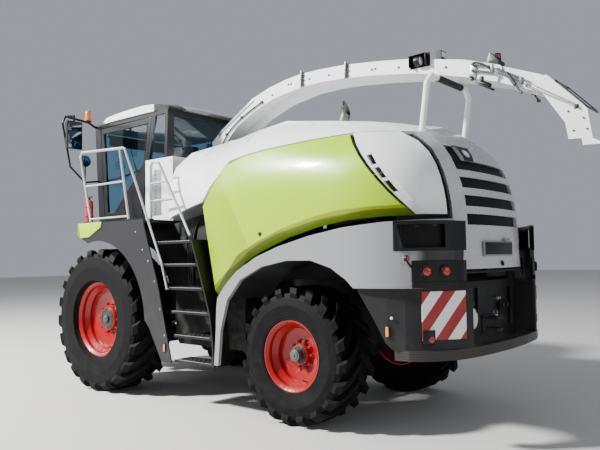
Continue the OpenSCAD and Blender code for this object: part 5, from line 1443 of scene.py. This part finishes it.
    def flap_lever(self) -> None:
        """Makes the lever, links and cylinders that ride on the deflector flap."""
        y = -self.half_w - 0.012
        flap = Piece("flap_lever", "link_grey", "white_panel", "spout_flap")
        for start_z, end_z, radius in ((3.462, 3.330, 0.011), (3.430, 3.296, 0.007)):
            flap.pipe([(2.800, y - 0.008, start_z), (3.030, y - 0.008, end_z)], radius, smooth=False)
        end = [(3.012, 3.352), (3.048, 3.336), (3.040, 3.270), (3.008, 3.280)]
        flap.plate(end, y - 0.020, y + 0.002)
        flap.bevel(0.002)
        along = (0.62, 0, -1)
        flap.drum((2.925, y - 0.012, 3.345), along, 0.019, 0.150, sides=28)
        flap.drum((2.985, y - 0.012, 3.250), along, 0.010, 0.110, sides=20)
        flap.drum((3.012, y - 0.010, 3.205), OUT_LEFT, 0.017, 0.030, sides=24)
        flap.place(mirror=True)

    def hoses(self) -> None:
        """Makes the hoses that run along the spout to the deflector, with their clips."""
        y = -self.half_w - 0.014
        low = [(-1.060, y, 3.215), (-1.000, y, 3.330), (-0.860, y, 3.440), (-0.640, y, 3.560),
               (-0.330, y, 3.672)]
        high = [(2.545, y - 0.020, 3.575), (2.640, y - 0.026, 3.565), (2.700, y - 0.026, 3.520),
                (2.752, y - 0.014, 3.440)]
        hose = Piece("spout_hose", "hose_rubber", "tyre", "spout")
        hose.pipe(low, 0.009)
        hose.pipe(high, 0.010)
        hose.place()
        clips = Piece("hose_clips", "bolt_dark", "frame_paint", "spout")
        for x, z in self.clips:
            clips.box((x - 0.014, y - 0.014, z - 0.016), (x + 0.014, -self.half_w + 0.001, z + 0.016))
        clips.place(soft=0.002)

    def pads(self) -> None:
        """Makes the rubber pad that lies in the rest and the camera below the spout."""
        x, z = self.rest_at
        pad = Piece("rest_pad", "rubber_black", "tyre")
        pad.drum((x, 0.0, z), (0, 1, 0), 0.0352, 0.520, sides=40)
        for y in (-0.262, 0.262):
            pad.ring((x, y, z - 0.001), (0, 1, 0), 0.0325, 0.004, steps=32)
        pad.place()
        wall = -self.half_w
        low = self.edge(Skin("spout_arch"), self.camera_x, False)
        visor = [(2.560, low - 0.030), (2.580, low - 0.022), (2.745, low - 0.115), (2.730, low - 0.130)]
        guard = Piece("camera_guard", "trim_black", "lamp_box", "spout")
        guard.box((2.600, wall - 0.012, low - 0.060), (2.640, wall + 0.012, low + 0.030))
        guard.drum((2.660, wall, low - 0.055), (1, 0, -0.5), 0.026, 0.110, sides=24)
        guard.plate(visor, wall - 0.030, wall + 0.030)
        guard.place(soft=0.004)

    def tip_rod(self) -> None:
        """Makes the rods and lugs of the last deflector section."""
        y = -self.half_w - 0.018
        x, z = self.rod_end
        lug = Piece("tip_lugs", "link_grey", "white_panel", "spout_tip")
        lug.box((x - 0.020, -self.half_w - 0.006, z - 0.020), (x + 0.020, -self.half_w + 0.001, z + 0.020))
        for spot_x, spot_z in ((3.070, 3.255), self.rod_end):
            lug.drum((spot_x, y - 0.004, spot_z), OUT_LEFT, 0.012, 0.034, sides=16)
        lug.place(soft=0.002, mirror=True)
        rod = Piece("tip_rods", "polished", "chrome_rod", "spout_tip")
        rod.pipe([(3.060, y - 0.006, 3.262), (x, y - 0.006, z)], 0.008, smooth=False)
        rod.pipe([(3.085, y - 0.020, 3.280), (x, y - 0.020, z + 0.020)], 0.005, smooth=False)
        rod.place(mirror=True)

    def tip_edge(self) -> None:
        """Makes the edge plates, side welts and bolts of the last deflector section."""
        skin = Skin("spout_tip")
        faces = [skin.hit((x + 0.5, 0.0, z + 0.5), (-1, 0, -1))[0] for x, z in self.tip_back]
        edge = Piece("tip_edges", "link_grey", "white_panel", "spout_tip")
        half = self.tip_half
        for face in (faces[0], faces[-1]):
            edge.box((face.x - 0.016, -half, face.z - 0.004), (face.x + 0.010, half, face.z + 0.012))
        edge.bevel(0.003)
        for side in (-half + 0.020, half - 0.020):
            edge.pipe([(face.x + 0.004, side, face.z + 0.012) for face in faces], 0.006)
        edge.place()
        studs = Piece("tip_bolts", "bolt_dark", "frame_paint", "spout_tip")
        self.studs(studs, self.tip_bolts, 0.010)
        studs.place(soft=0.001, mirror=True)

    def base(self) -> None:
        """Makes the strips beside the spout's foot and the ring of bolts round the turret."""
        skin = Skin("spout_arch")
        strip = Piece("foot_strip", "silver_trim", "light_grey_panel", "spout")
        spots = [(x, self.edge(skin, x, True)) for x in self.foot_spots]
        outline = [(x, z - 0.004) for x, z in spots] + [(x, z - self.foot_tall) for x, z in reversed(spots)]
        for side in (-1, 1):
            near, far = sorted((side * self.half_w, side * (self.half_w + 0.005)))
            strip.plate(outline, near, far)
        strip.place(soft=0.001)
        ring = Piece("turret_bolts", "bolt_dark", "frame_paint", "spout_turret")
        top = Skin("spout_turret").hit((self.turret_x, -0.360, FAR), DOWN)[0].z
        for k in range(self.turret_bolts):
            angle = math.tau * (k + 0.5) / self.turret_bolts
            x = self.turret_x + self.turret_ring * math.cos(angle)
            ring.drum((x, self.turret_ring * math.sin(angle), top + 0.005), UP, 0.011, 0.012, sides=6)
        ring.place(soft=0.001)


@dataclass
class BodyTrim:
    """Door latches, hood seams, exhaust clamp, dark walls and bolts on the shell and the sides."""

    latch_at: Flat = (0.662, 1.929)
    seams: Flat = (0.235, -0.620)
    seam_steps: int = 14
    seam_start: float = 12.0
    seam_turn: float = 78.0
    seam_reach: float = 3.0
    seam_z: float = 2.4
    seam_clear: Flat = (-0.42, 2.90)
    exhaust_at: Point = (0.585, 0.230, 3.190)
    exhaust_lean: float = 14.0
    wall_y: float = -0.985
    wall_outline: tuple[Flat, ...] = ((-1.240, 1.345), (-0.310, 1.345), (-0.310, 2.130), (-0.560, 2.230),
                                      (-1.180, 2.120), (-1.880, 2.120), (-1.880, 1.940), (-1.560, 1.800),
                                      (-1.360, 1.600))
    arch_y: float = -0.700
    arch_outline: tuple[Flat, ...] = ((0.300, 1.440), (1.900, 1.440), (1.900, 2.100), (0.300, 1.900))
    wall_thick: float = 0.010
    filler_x: float = -0.700
    skirt_y: float = -1.4415
    skirt_bolts: tuple[Flat, ...] = ((-1.330, 2.020), (-1.190, 1.800), (-1.080, 1.660), (-0.960, 1.420),
                                     (-0.860, 1.100), (-0.780, 0.800))

    def build(self) -> None:
        """Makes the shell's fittings."""
        self.door_latches()
        self.hood_seams()
        self.exhaust_clamp()
        self.inner_wall()
        self.skirt_studs()

    def door_latches(self) -> None:
        """Makes the round latches of both side doors."""
        for side in Side:
            hand = side.name.lower()
            body = f"{hand}_side_door"
            start = (self.latch_at[0], side.value * FAR / 2, self.latch_at[1])
            spot, way = Skin(f"side_door_{hand}").hit(start, (0, -side.value, 0))
            latch = Piece(f"{body}_latch", "trim_black", "mesh_black", body)
            latch.ring(spot + way * 0.001, way, 0.020, 0.0035, steps=32)
            latch.drum(spot + way * 0.001, way, 0.018, 0.005, sides=32)
            latch.place(soft=0.0008)

    def hood_seams(self) -> None:
        """Makes the seal strips on the hood's joints."""
        skin = Skin("hood")
        seal = Piece("hood_seams", "rubber_black", "tyre")
        for x in self.seams:
            route = []
            for k in range(self.seam_steps + 1):
                angle = math.radians(self.seam_start + self.seam_turn * k / self.seam_steps)
                way = Vector((0, math.cos(angle), -math.sin(angle)))
                try:
                    spot, normal = skin.hit(Vector((x, 0, self.seam_z)) - way * self.seam_reach, way)
                except ValueError:
                    continue
                if spot.y < self.seam_clear[0] and spot.z > self.seam_clear[1]:
                    route.append(spot + normal * 0.0006)
            if len(route) > 3:
                seal.pipe(route, 0.0028)
        seal.place(mirror=True)

    def exhaust_clamp(self) -> None:
        """Makes the clamp rings of the exhaust."""
        lean = Matrix.Translation(self.exhaust_at) @ Matrix.Rotation(math.radians(self.exhaust_lean), 4, "Y")
        clamp = Piece("exhaust_clamp", "bare_steel", "exhaust_steel")
        for rise in (0.170, 0.190):
            clamp.ring(lean @ Vector((0, 0, rise)), lean.to_3x3() @ Vector(UP), 0.0645, 0.006)
        clamp.place()

    def inner_wall(self) -> None:
        """Makes the dark walls behind the ladder and over the rear wheels, with hoses and tank filler."""
        y = self.wall_y
        wall = Piece("inner_walls", "wall_dark", "frame_paint")
        wall.plate(self.wall_outline, y, y + self.wall_thick)
        for low, high in (((-1.150, 1.500), (-0.900, 1.960)), ((-0.760, 1.560), (-0.420, 1.900))):
            wall.box((low[0], y - 0.015, low[1]), (high[0], y + 0.001, high[1]))
        wall.place(soft=0.006, mirror=True)
        back = Piece("arch_backs", "wall_dark", "frame_paint")
        back.plate(self.arch_outline, self.arch_y, self.arch_y + self.wall_thick)
        back.place(soft=0.004, mirror=True)
        hose = Piece("inner_wall_hoses", "hose_rubber", "tyre")
        for k in range(3):
            x = -0.860 + 0.036 * k
            route = ((x, -0.992, 1.350), (x + 0.01, -1.006, 1.500), (x - 0.02, -1.010, 1.750),
                     (x + 0.03, -1.004, 2.000), (x + 0.09, -0.990, 2.130))
            hose.pipe(route, 0.012)
        hose.place()
        cap = Piece("tank_fillers", "trim_black", "tank_plastic")
        cap.drum((self.filler_x, -0.900, 1.345), UP, 0.055, 0.040, sides=40)
        cap.drum((self.filler_x, -0.900, 1.372), UP, 0.048, 0.020, sides=12)
        cap.place(soft=0.004, mirror=True)

    def skirt_studs(self) -> None:
        """Makes the bolts along the rear edge of the front mudguards' skirts."""
        bolts = Piece("skirt_bolts", "bare_steel", "bare_steel")
        for x, z in self.skirt_bolts:
            bolts.ball((x, self.skirt_y, z), (0, 1, 0), 0.011, 0.006)
        bolts.place(mirror=True)


@dataclass
class FrontCorner:
    """Coloured corner covers, steps, treads and the extinguisher round the platform."""

    face_y: float = 1.440
    deck_z: float = 2.170
    extinguisher_at: Flat = (-2.505, -1.345)
    step_heights: tuple[float, ...] = (0.535, 0.815, 1.085, 1.355, 1.625, 1.890)
    tread_columns: int = 26
    tread_rows: int = 9
    rail_feet: tuple[Flat, ...] = ((-2.350, -1.416), (-1.510, -1.416), (-1.250, -1.270))

    def build(self) -> None:
        """Makes the platform's fittings."""
        self.corner_covers()
        self.extinguisher()
        self.treads()
        self.rail_clamps()

    def corner_covers(self) -> None:
        """Makes the lime covers on the platform's front corners."""
        outline = [(-2.588, 2.176), (-2.050, 2.176), (-2.075, 2.105), (-2.345, 1.986), (-2.556, 1.978)]
        front = -self.face_y - 0.014
        cover = Piece("corner_covers", "lime_paint", "green_panel")
        cover.plate(outline, front, -self.face_y + 0.001)
        cover.box((-2.606, front, 2.010), (-2.589, -self.face_y + 0.180, 2.176))
        cover.place(soft=0.006, segments=3, mirror=True)

    def extinguisher(self) -> None:
        """Makes the extinguisher with its valve, hose and holder."""
        x, y = self.extinguisher_at
        body = Piece("extinguisher", "extinguisher_red", "rim_red")
        body.drum((x, y, 2.325), UP, 0.052, 0.270, sides=40)
        body.ball((x, y, 2.460), UP, 0.052, 0.040)
        body.place(soft=0.008, segments=3)
        hose = [(x - 0.010, y, 2.515), (x - 0.060, y, 2.500), (x - 0.066, y, 2.420), (x - 0.062, y, 2.300)]
        top = Piece("extinguisher_valve", "trim_black", "lamp_box")
        top.drum((x, y, 2.512), UP, 0.016, 0.030, sides=20)
        top.box((x - 0.010, y - 0.012, 2.522), (x + 0.075, y + 0.012, 2.530))
        top.box((x - 0.010, y - 0.010, 2.538), (x + 0.070, y + 0.010, 2.545))
        top.pipe(hose, 0.008)
        for z in (2.270, 2.400):
            top.ring((x, y, z), UP, 0.054, 0.005)
        top.box((x - 0.050, y - 0.050, 2.172), (x + 0.050, y + 0.050, 2.192))
        top.place(soft=0.002)

    def treads(self) -> None:
        """Makes the raised studs and nosings of the steps and the platform."""
        skin = Skin("ladder")
        studs = Piece("step_studs", "bolt_dark", "frame_paint")
        noses = Piece("step_noses", "silver_trim", "light_grey_panel")
        for z in self.step_heights:
            start = skin.hit((-3.0, -1.30, z - 0.012), TO_REAR)[0].x
            for i in range(8):
                for j in range(3):
                    spot = (start + 0.07 + 0.072 * i, -1.350 + 0.075 * j, z + 0.003)
                    studs.drum(spot, UP, 0.010, 0.008, end=0.007, sides=8)
            noses.box((start + 0.010, -1.396, z - 0.002), (start + 0.610, -1.384, z + 0.003))
        studs.place()
        noses.place(soft=0.001)
        deck = Piece("platform_treads", "bolt_dark", "frame_paint")
        for i in range(self.tread_columns):
            for j in range(self.tread_rows):
                spot = (-2.540 + 0.052 * i, -1.395 + 0.058 * j, self.deck_z)
                turn = Matrix.Rotation(math.pi / 4 * (1 if (i + j) % 2 else -1), 4, "Z")
                deck.box((-0.014, -0.003, 0.0), (0.014, 0.003, 0.004), Matrix.Translation(spot) @ turn)
        deck.place(mirror=True)

    def rail_clamps(self) -> None:
        """Makes the flanges and bolts at the feet of the hand rails."""
        feet = Piece("rail_feet", "bolt_dark", "frame_paint")
        for x, y in self.rail_feet:
            feet.drum((x, y, self.deck_z + 0.007), UP, 0.036, 0.010, sides=32)
            for k in range(3):
                angle = math.tau * k / 3 + 0.4
                spot = (x + 0.028 * math.cos(angle), y + 0.028 * math.sin(angle), self.deck_z + 0.015)
                feet.drum(spot, UP, 0.005, 0.008, sides=6)
        feet.place(soft=0.0015)


@dataclass
class CabTrim:
    """Handle, seals, wiper, mirror glass, lamps, headliner and fittings inside the cab."""

    half_w: float = 0.850
    door_corners: tuple[Flat, ...] = ((-2.816, 2.352), (-2.911, 3.526), (-1.880, 3.526), (-1.965, 2.990),
                                      (-2.610, 2.352))
    mirror_x: float = -2.935
    roof_lamps: tuple[float, ...] = (-0.62, -0.42, 0.42, 0.62)
    lining_z: float = 3.545
    cover_x: Flat = (-1.800, -1.560)
    cover_z: Flat = (2.260, 2.860)
    dashes: int = 12

    def build(self) -> None:
        """Makes the cab's fittings."""
        self.door_handle()
        self.window_seals()
        self.wiper()
        self.mirror_glass()
        self.lamps()
        self.headliner()
        self.console()
        self.cover_inset()

    def door_handle(self) -> None:
        """Makes the handle, lock and grab rail of the door."""
        wall = -self.half_w
        y = wall - 0.034
        grip = Piece("door_grip", "trim_black", "cab_black", "cab_door")
        grip.pipe([(-2.120, wall + 0.004, 2.905), (-2.125, y, 2.905), (-2.245, y, 2.880),
                   (-2.250, wall + 0.004, 2.880)], 0.010)
        grip.drum((-2.085, wall - 0.006, 2.905), OUT_LEFT, 0.017, 0.014, sides=28)
        grip.place(soft=0.002)
        foot, held = wall + 0.040, wall + 0.080
        bar = Piece("door_grab_bar", "trim_black", "cab_black", "cab_door")
        bar.pipe([(-2.235, foot, 2.900), (-2.250, held, 2.900), (-2.700, held, 2.850), (-2.870, held, 2.840),
                  (-2.885, foot, 2.840)], 0.012)
        bar.place()

    def window_seals(self) -> None:
        """Makes the rubber seal round the door's window."""
        spots = self.door_corners + self.door_corners[:1]
        seal = Piece("door_seal", "rubber_black", "cab_black", "cab_door")
        seal.pipe([(x, -self.half_w - 0.0005, z) for x, z in spots], 0.0055, smooth=False)
        seal.place()

    def wiper(self) -> None:
        """Makes the windscreen's wiper."""
        skin = Skin("cab_glass")
        motor, way = skin.hit((-FAR, 0.10, 2.42), TO_REAR)
        top, top_way = skin.hit((-FAR, -0.18, 3.20), TO_REAR)
        arm = Piece("wiper", "trim_black", "cab_black")
        arm.drum(motor + way * 0.020, way, 0.022, 0.040, sides=24)
        arm.pipe([motor + way * 0.032, top + top_way * 0.022], 0.007, smooth=False)
        blade = [skin.hit((-FAR, y, z), TO_REAR)[0] + way * 0.009 for y, z in ((-0.10, 2.75), (-0.26, 3.50))]
        arm.pipe(blade, 0.006, smooth=False)
        arm.place(soft=0.002)

    def mirror_glass(self) -> None:
        """Makes the mirror faces, which look to the rear, and the mirrors' shells."""
        x = self.mirror_x
        glass = Piece("mirror_faces", "mirror_face", "lamp_box")
        for low, high in ((3.262, 3.500), (3.512, 3.628)):
            glass.box((x, -1.408, low), (x + 0.0035, -1.202, high))
        glass.bevel(0.0012)
        glass.drum((x - 0.0055, -1.130, 3.095), TO_REAR, 0.074, 0.004, sides=48)
        glass.place(mirror=True)
        shell = Piece("mirror_shells", "trim_black", "lamp_box")
        shell.box((x - 0.067, -1.412, 3.258), (x - 0.049, -1.198, 3.632))
        shell.bevel(0.008, 3)
        for z in (3.340, 3.560):
            shell.box((x - 0.055, -1.425, z), (x + 0.005, -1.419, z + 0.050))
        shell.place(mirror=True)

    def lamps(self) -> None:
        """Makes the work lamps in the front of the roof and the lamp seats."""
        seat = Piece("roof_lamp_seats", "trim_black", "cab_black")
        lens = Piece("roof_lamp_lenses", "white_lens", "white_panel")
        skin = Skin("cab_roof")
        for y in self.roof_lamps:
            x = skin.hit((-FAR, y, 3.700), TO_REAR)[0].x
            seat.box((x - 0.012, y - 0.072, 3.676), (x + 0.060, y + 0.072, 3.716))
            lens.box((x - 0.018, y - 0.062, 3.682), (x - 0.008, y + 0.062, 3.710))
        seat.place(soft=0.004)
        lens.place(soft=0.003)

    def headliner(self) -> None:
        """Makes the dark lining under the roof, with vents, a sunblind and a lamp."""
        z = self.lining_z
        lining = Piece("headliner", "lining_grey", "cab_black")
        lining.box((-2.980, -0.780, z), (-1.560, 0.780, z + 0.059))
        lining.bevel(0.020, 4)
        for x in (-2.700, -2.450, -2.200):
            lining.box((x, -0.700, z - 0.011), (x + 0.120, -0.560, z + 0.003))
        lining.place()
        blind = Piece("sunblind", "wall_dark", "cab_black")
        blind.pipe([(-3.030, -0.700, z - 0.025), (-3.030, 0.700, z - 0.025)], 0.022, smooth=False)
        blind.box((-3.034, -0.680, z - 0.165), (-3.028, 0.680, z - 0.025))
        blind.place()
        lamp = Piece("cab_lamp", "white_lens", "white_panel")
        lamp.box((-2.050, -0.100, z - 0.009), (-1.900, 0.100, z + 0.001))
        lamp.place(soft=0.004)

    def console(self) -> None:
        """Makes the arm-rest console, its screen, the drive lever and the pedals."""
        box = Piece("console", "lining_grey", "cab_black")
        box.box((-2.620, 0.302, 2.234), (-2.060, 0.418, 2.720))
        box.box((-2.640, 0.290, 2.720), (-2.100, 0.430, 2.790))
        box.bevel(0.016, 3)
        box.pipe([(-2.600, 0.360, 2.780), (-2.620, 0.360, 2.860)], 0.014, smooth=False)
        box.ball((-2.625, 0.360, 2.895), (0.2, 0, 1), 0.034, 0.048)
        for k in range(6):
            box.drum((-2.320 + 0.040 * k, 0.340, 2.793), UP, 0.010, 0.010, sides=16)
        box.pipe([(-2.560, 0.470, 2.760), (-2.700, 0.500, 2.900), (-2.740, 0.500, 2.960)], 0.012)
        box.box((-2.775, 0.385, 2.930), (-2.745, 0.655, 3.110))
        box.place()
        glass = Piece("console_screen", "screen_black", "cab_black")
        glass.box((-2.7455, 0.400, 2.945), (-2.7425, 0.640, 3.095))
        glass.place(soft=0.001)
        pedals = Piece("pedals", "bolt_dark", "cab_black")
        for y in (-0.200, -0.110):
            pedals.box((-2.900, y, 2.250), (-2.888, y + 0.060, 2.400))
            pedals.pipe([(-2.894, y + 0.03, 2.236), (-2.894, y + 0.03, 2.300)], 0.008, smooth=False)
        pedals.place(soft=0.003)

    def cover_inset(self) -> None:
        """Makes the arched inset, the dashes and the screws of the white covers behind the doors."""
        (left, right), (foot, spring) = self.cover_x, self.cover_z
        middle, half = (left + right) / 2, (right - left) / 2
        angles = [math.pi * k / 12 for k in range(13)]
        arch = [(middle + half * math.cos(angle), spring + half * math.sin(angle)) for angle in angles]
        inset = Piece("cover_insets", "silver_trim", "light_grey_panel")
        inset.plate([(left, foot), (right, foot), *arch], -0.8725, -0.8690)
        inset.place(soft=0.001, mirror=True)
        dashes = Piece("cover_dashes", "polished", "chrome_rod")
        for k in range(self.dashes):
            z = foot + 0.030 + 0.050 * k
            dashes.box((middle - 0.012, -0.8765, z), (middle + 0.012, -0.8715, z + 0.032))
        dashes.place(soft=0.001, mirror=True)
        screws = Piece("cover_screws", "bolt_dark", "frame_paint")
        for x, z in ((-1.870, 2.230), (-1.870, 2.960), (-1.350, 2.960), (-1.350, 2.230)):
            screws.ball((x, -0.8785, z), (0, 1, 0), 0.008, 0.004)
        screws.place(mirror=True)


@dataclass
class OperatorSeat:
    """Sprung seat with padded cushion, back, head rest and arm rest."""

    floor_z: float = 2.230
    cuts: int = 9
    crown: float = 0.42
    seam_at: float = 0.45
    seam_wide: float = 0.07
    seam_deep: float = 0.10
    pinch: float = 0.07
    corner: float = 0.05

    def build(self) -> None:
        """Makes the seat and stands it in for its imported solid."""
        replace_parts(self.base(), "operator_seat")
        self.pad("seat_cushion", (-2.310, 0.0, 2.540), (0.490, 0.510, 0.125), 0.0, 0.85)
        self.pad("seat_back", (-2.065, 0.0, 2.905), (0.120, 0.470, 0.600), 0.13, 0.85)
        self.pad("seat_head_rest", (-1.995, 0.0, 3.255), (0.085, 0.260, 0.150), 0.13, 0.9)
        self.pad("seat_arm_rest", (-2.280, -0.290, 2.760), (0.300, 0.070, 0.060), 0.0, 0.9)

    def base(self) -> bpy.types.Object:
        """Makes the sprung base with its bellows.

        Returns:
            The finished base.
        """
        z = self.floor_z
        base = Piece("seat_base", "lining_grey", "cab_black")
        base.box((-2.450, -0.220, z + 0.002), (-2.110, 0.220, z + 0.050))
        for k in range(6):
            inset = 0.016 if k % 2 else 0.0
            low = z + 0.050 + 0.028 * k
            base.box((-2.430 + inset, -0.200 + inset, low), (-2.130 - inset, 0.200 - inset, low + 0.028))
        base.box((-2.520, -0.240, z + 0.218), (-2.080, 0.240, z + 0.250))
        for y in (-0.235, 0.205):
            base.box((-2.125, y, z + 0.250), (-2.075, y + 0.030, z + 0.420))
        base.box((-2.150, -0.262, z + 0.300), (-2.110, -0.242, z + 0.515))
        base.bevel(0.004)
        for y in (-0.060, 0.060):
            base.pipe([(-2.010, y, 3.130), (-1.998, y, 3.230)], 0.007, smooth=False)
        return base.place()

    def pad(self, name: str, middle: Point, size: Point, lean: float, fill: float) -> None:
        """Makes one stuffed pad with a crowned face, pinched corners and sewn channels.

        Args:
            name: The piece's name.
            middle: Its middle.
            size: Its sizes along X, Y and Z.
            lean: Turn about Y, in radians.
            fill: How full it is stuffed; not used.
        """
        piece = Piece(name, "seat_cover", "seat_cover")
        bmesh.ops.create_cube(piece.bm, size=2.0)
        bmesh.ops.subdivide_edges(piece.bm, edges=piece.bm.edges[:], cuts=self.cuts, use_grid_fill=True)
        thin = min(range(3), key=lambda i: size[i])
        wide, tall = [i for i in range(3) if i != thin]
        for vert in piece.bm.verts:
            u, v, w = vert.co[wide], vert.co[tall], vert.co[thin]
            rim = max(abs(u), abs(v))
            crown = 1.0 - self.crown * rim ** 5
            fall = self.seam_deep * math.exp(-((abs(v) - self.seam_at) / self.seam_wide) ** 2)
            channel = fall if abs(w) > 0.9 else 0.0
            pinch = 1.0 - self.pinch * (1.0 - abs(w)) ** 2
            vert.co[wide] = u * (pinch - self.corner * abs(v) ** 4)
            vert.co[tall] = v * (pinch - self.corner * abs(u) ** 4)
            vert.co[thin] = w * (crown - channel)
        verts = piece.bm.verts[:]
        bmesh.ops.smooth_vert(piece.bm, verts=verts, factor=0.35, use_axis_x=True, use_axis_y=True,
                              use_axis_z=True)
        grow = Matrix.Diagonal((*[length / 2 for length in size], 1.0))
        turn = Matrix.Translation(middle) @ Matrix.Rotation(lean, 4, "Y") @ grow
        bmesh.ops.transform(piece.bm, matrix=turn, verts=verts)
        pad = piece.place()
        soft = pad.modifiers.new("soft", "SUBSURF")
        soft.levels = 1
        soft.render_levels = 1


@dataclass
class FrontEnd:
    """Bolts, ribs and couplings of the feed housing."""

    half_w: float = 0.385
    bolts: tuple[Flat, ...] = ((-3.440, 0.720), (-3.440, 1.020), (-3.440, 1.320), (-3.250, 1.340),
                               (-3.250, 0.740), (-3.020, 1.330))
    roller_x: float = -3.090
    roller_heights: Flat = (1.160, 0.830)
    bearing_ring: float = 0.055
    coupling_z: float = 1.490

    def build(self) -> None:
        """Makes the feed housing's fittings."""
        wall = -self.half_w
        bolts = Piece("housing_bolts", "bolt_dark", "feeder_paint", "feed_housing")
        for x, z in self.bolts:
            bolts.drum((x, wall - 0.004, z), OUT_LEFT, 0.012, 0.010, sides=6)
        for axis_z in self.roller_heights:
            for k in range(6):
                angle = math.tau * k / 6
                across, rise = self.bearing_ring * math.cos(angle), self.bearing_ring * math.sin(angle)
                spot = (self.roller_x + across, wall - 0.004, axis_z + rise)
                bolts.drum(spot, OUT_LEFT, 0.009, 0.010, sides=6)
        bolts.place(soft=0.001, mirror=True)
        ribs = Piece("housing_ribs", "feeder_paint", "feeder_paint", "feed_housing")
        for x in (-3.340, -3.200):
            ribs.box((x, wall - 0.016, 0.740), (x + 0.012, wall + 0.001, 1.330))
        for y in (-0.24, 0.0, 0.24):
            ribs.box((-3.440, y - 0.006, 1.359), (-2.800, y + 0.006, 1.372))
        ribs.place(soft=0.002)
        block = Piece("header_coupling", "bare_steel", "bare_steel", "feed_housing")
        for k in range(4):
            y = -0.690 + 0.034 * k
            block.drum((-3.470, y, self.coupling_z), TO_REAR, 0.012, 0.060, sides=20)
            block.drum((-3.440, y, self.coupling_z), TO_REAR, 0.015, 0.016, sides=20)
        block.place(soft=0.002)


@dataclass
class Studio:
    """Floor, lights and the photograph's camera."""

    camera_at: Point = (5.2539, -6.1603, 1.6879)
    yaw: float = 130.01
    pitch: float = 2.83
    roll: float = -0.83
    focal_px: float = 643.48
    floor_half: float = 60.0
    sensor: float = 36.0
    aim_z: float = 1.2
    sky_colour: Colour = (0.86, 0.91, 1.0)
    sky_strength: float = 0.42
    lamps: tuple[tuple[str, Point, float, float], ...] = (("key", (-9.0, -11.5, 12.5), 10500.0, 1.4),
                                                          ("fill", (15.0, -2.0, 6.0), 260.0, 9.0),
                                                          ("rim", (-12.0, -6.0, 9.0), 600.0, 7.0))

    def build(self) -> None:
        """Makes the whole studio."""
        self.camera()
        self.floor()
        self.lights()

    def camera(self) -> None:
        """Sets the camera at the photograph's place."""
        yaw, pitch, roll = (math.radians(a) for a in (self.yaw, self.pitch, self.roll))
        ahead = Vector((math.cos(pitch) * math.cos(yaw), math.cos(pitch) * math.sin(yaw), math.sin(pitch)))
        level = ahead.cross(Vector((0, 0, 1))).normalized()
        up = level.cross(ahead)
        right = level * math.cos(roll) + up * math.sin(roll)
        top = up * math.cos(roll) - level * math.sin(roll)
        data = bpy.data.cameras.new("photo_camera")
        data.sensor_width = self.sensor
        data.lens = self.focal_px * data.sensor_width / PHOTO_WIDTH
        data.clip_end = 200.0
        camera = bpy.data.objects.new("photo_camera", data)
        rows = [(right[i], top[i], -ahead[i], self.camera_at[i]) for i in range(3)] + [(0, 0, 0, 1)]
        camera.matrix_world = Matrix(rows)
        bpy.context.scene.collection.objects.link(camera)
        bpy.context.scene.camera = camera

    def floor(self) -> None:
        """Lays a plain pale floor."""
        bm = bmesh.new()
        bmesh.ops.create_grid(bm, x_segments=1, y_segments=1, size=self.floor_half)
        mesh = bpy.data.meshes.new("floor")
        bm.to_mesh(mesh)
        bm.free()
        floor = bpy.data.objects.new("floor", mesh)
        bpy.context.scene.collection.objects.link(floor)
        finish = Finish("pale_floor", (0.60, 0.585, 0.565), rough=0.85, vary=0.05, dust=0.0)
        floor.data.materials.append(finish.build())

    def lights(self) -> None:
        """Hangs the key, fill and rim lamps under a pale sky."""
        world = bpy.data.worlds.new("pale_sky")
        world.use_nodes = True
        sky = world.node_tree.nodes["Background"]
        sky.inputs["Color"].default_value = (*self.sky_colour, 1.0)
        sky.inputs["Strength"].default_value = self.sky_strength
        bpy.context.scene.world = world
        for name, at, power, size in self.lamps:
            data = bpy.data.lights.new(name, "AREA")
            data.energy = power
            data.size = size
            light = bpy.data.objects.new(name, data)
            light.location = at
            look = Vector((0, 0, self.aim_z)) - Vector(at)
            light.rotation_euler = look.to_track_quat("-Z", "Y").to_euler()
            bpy.context.scene.collection.objects.link(light)


def main() -> None:
    """Builds the studio and dresses the machine."""
    logging.basicConfig(level=logging.INFO, format="%(name)s %(message)s")
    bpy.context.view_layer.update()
    Studio().build()
    FrameDresser(frame).dress()
    wheels = (*WheelTrim.pair("front", axle_x=-2.175, height=0.915, hub_r=0.148, nut_ring=0.193, bead_r=0.482,
                              bead_y=1.409, stub_r=0.050, stub_out=0.030),
              *WheelTrim.pair("rear", axle_x=0.995, height=0.695, hub_r=0.102, nut_ring=0.133, bead_r=0.361,
                              bead_y=1.262, stub_r=0.060, stub_out=0.075))
    trims = (RearEnd(), SpoutTrim(), BodyTrim(), FrontCorner(), CabTrim(), OperatorSeat(), FrontEnd())
    for part in (*wheels, *trims):
        LOG.info("building %s", type(part).__name__)
        part.build()


if __name__ == "__main__":
    main()
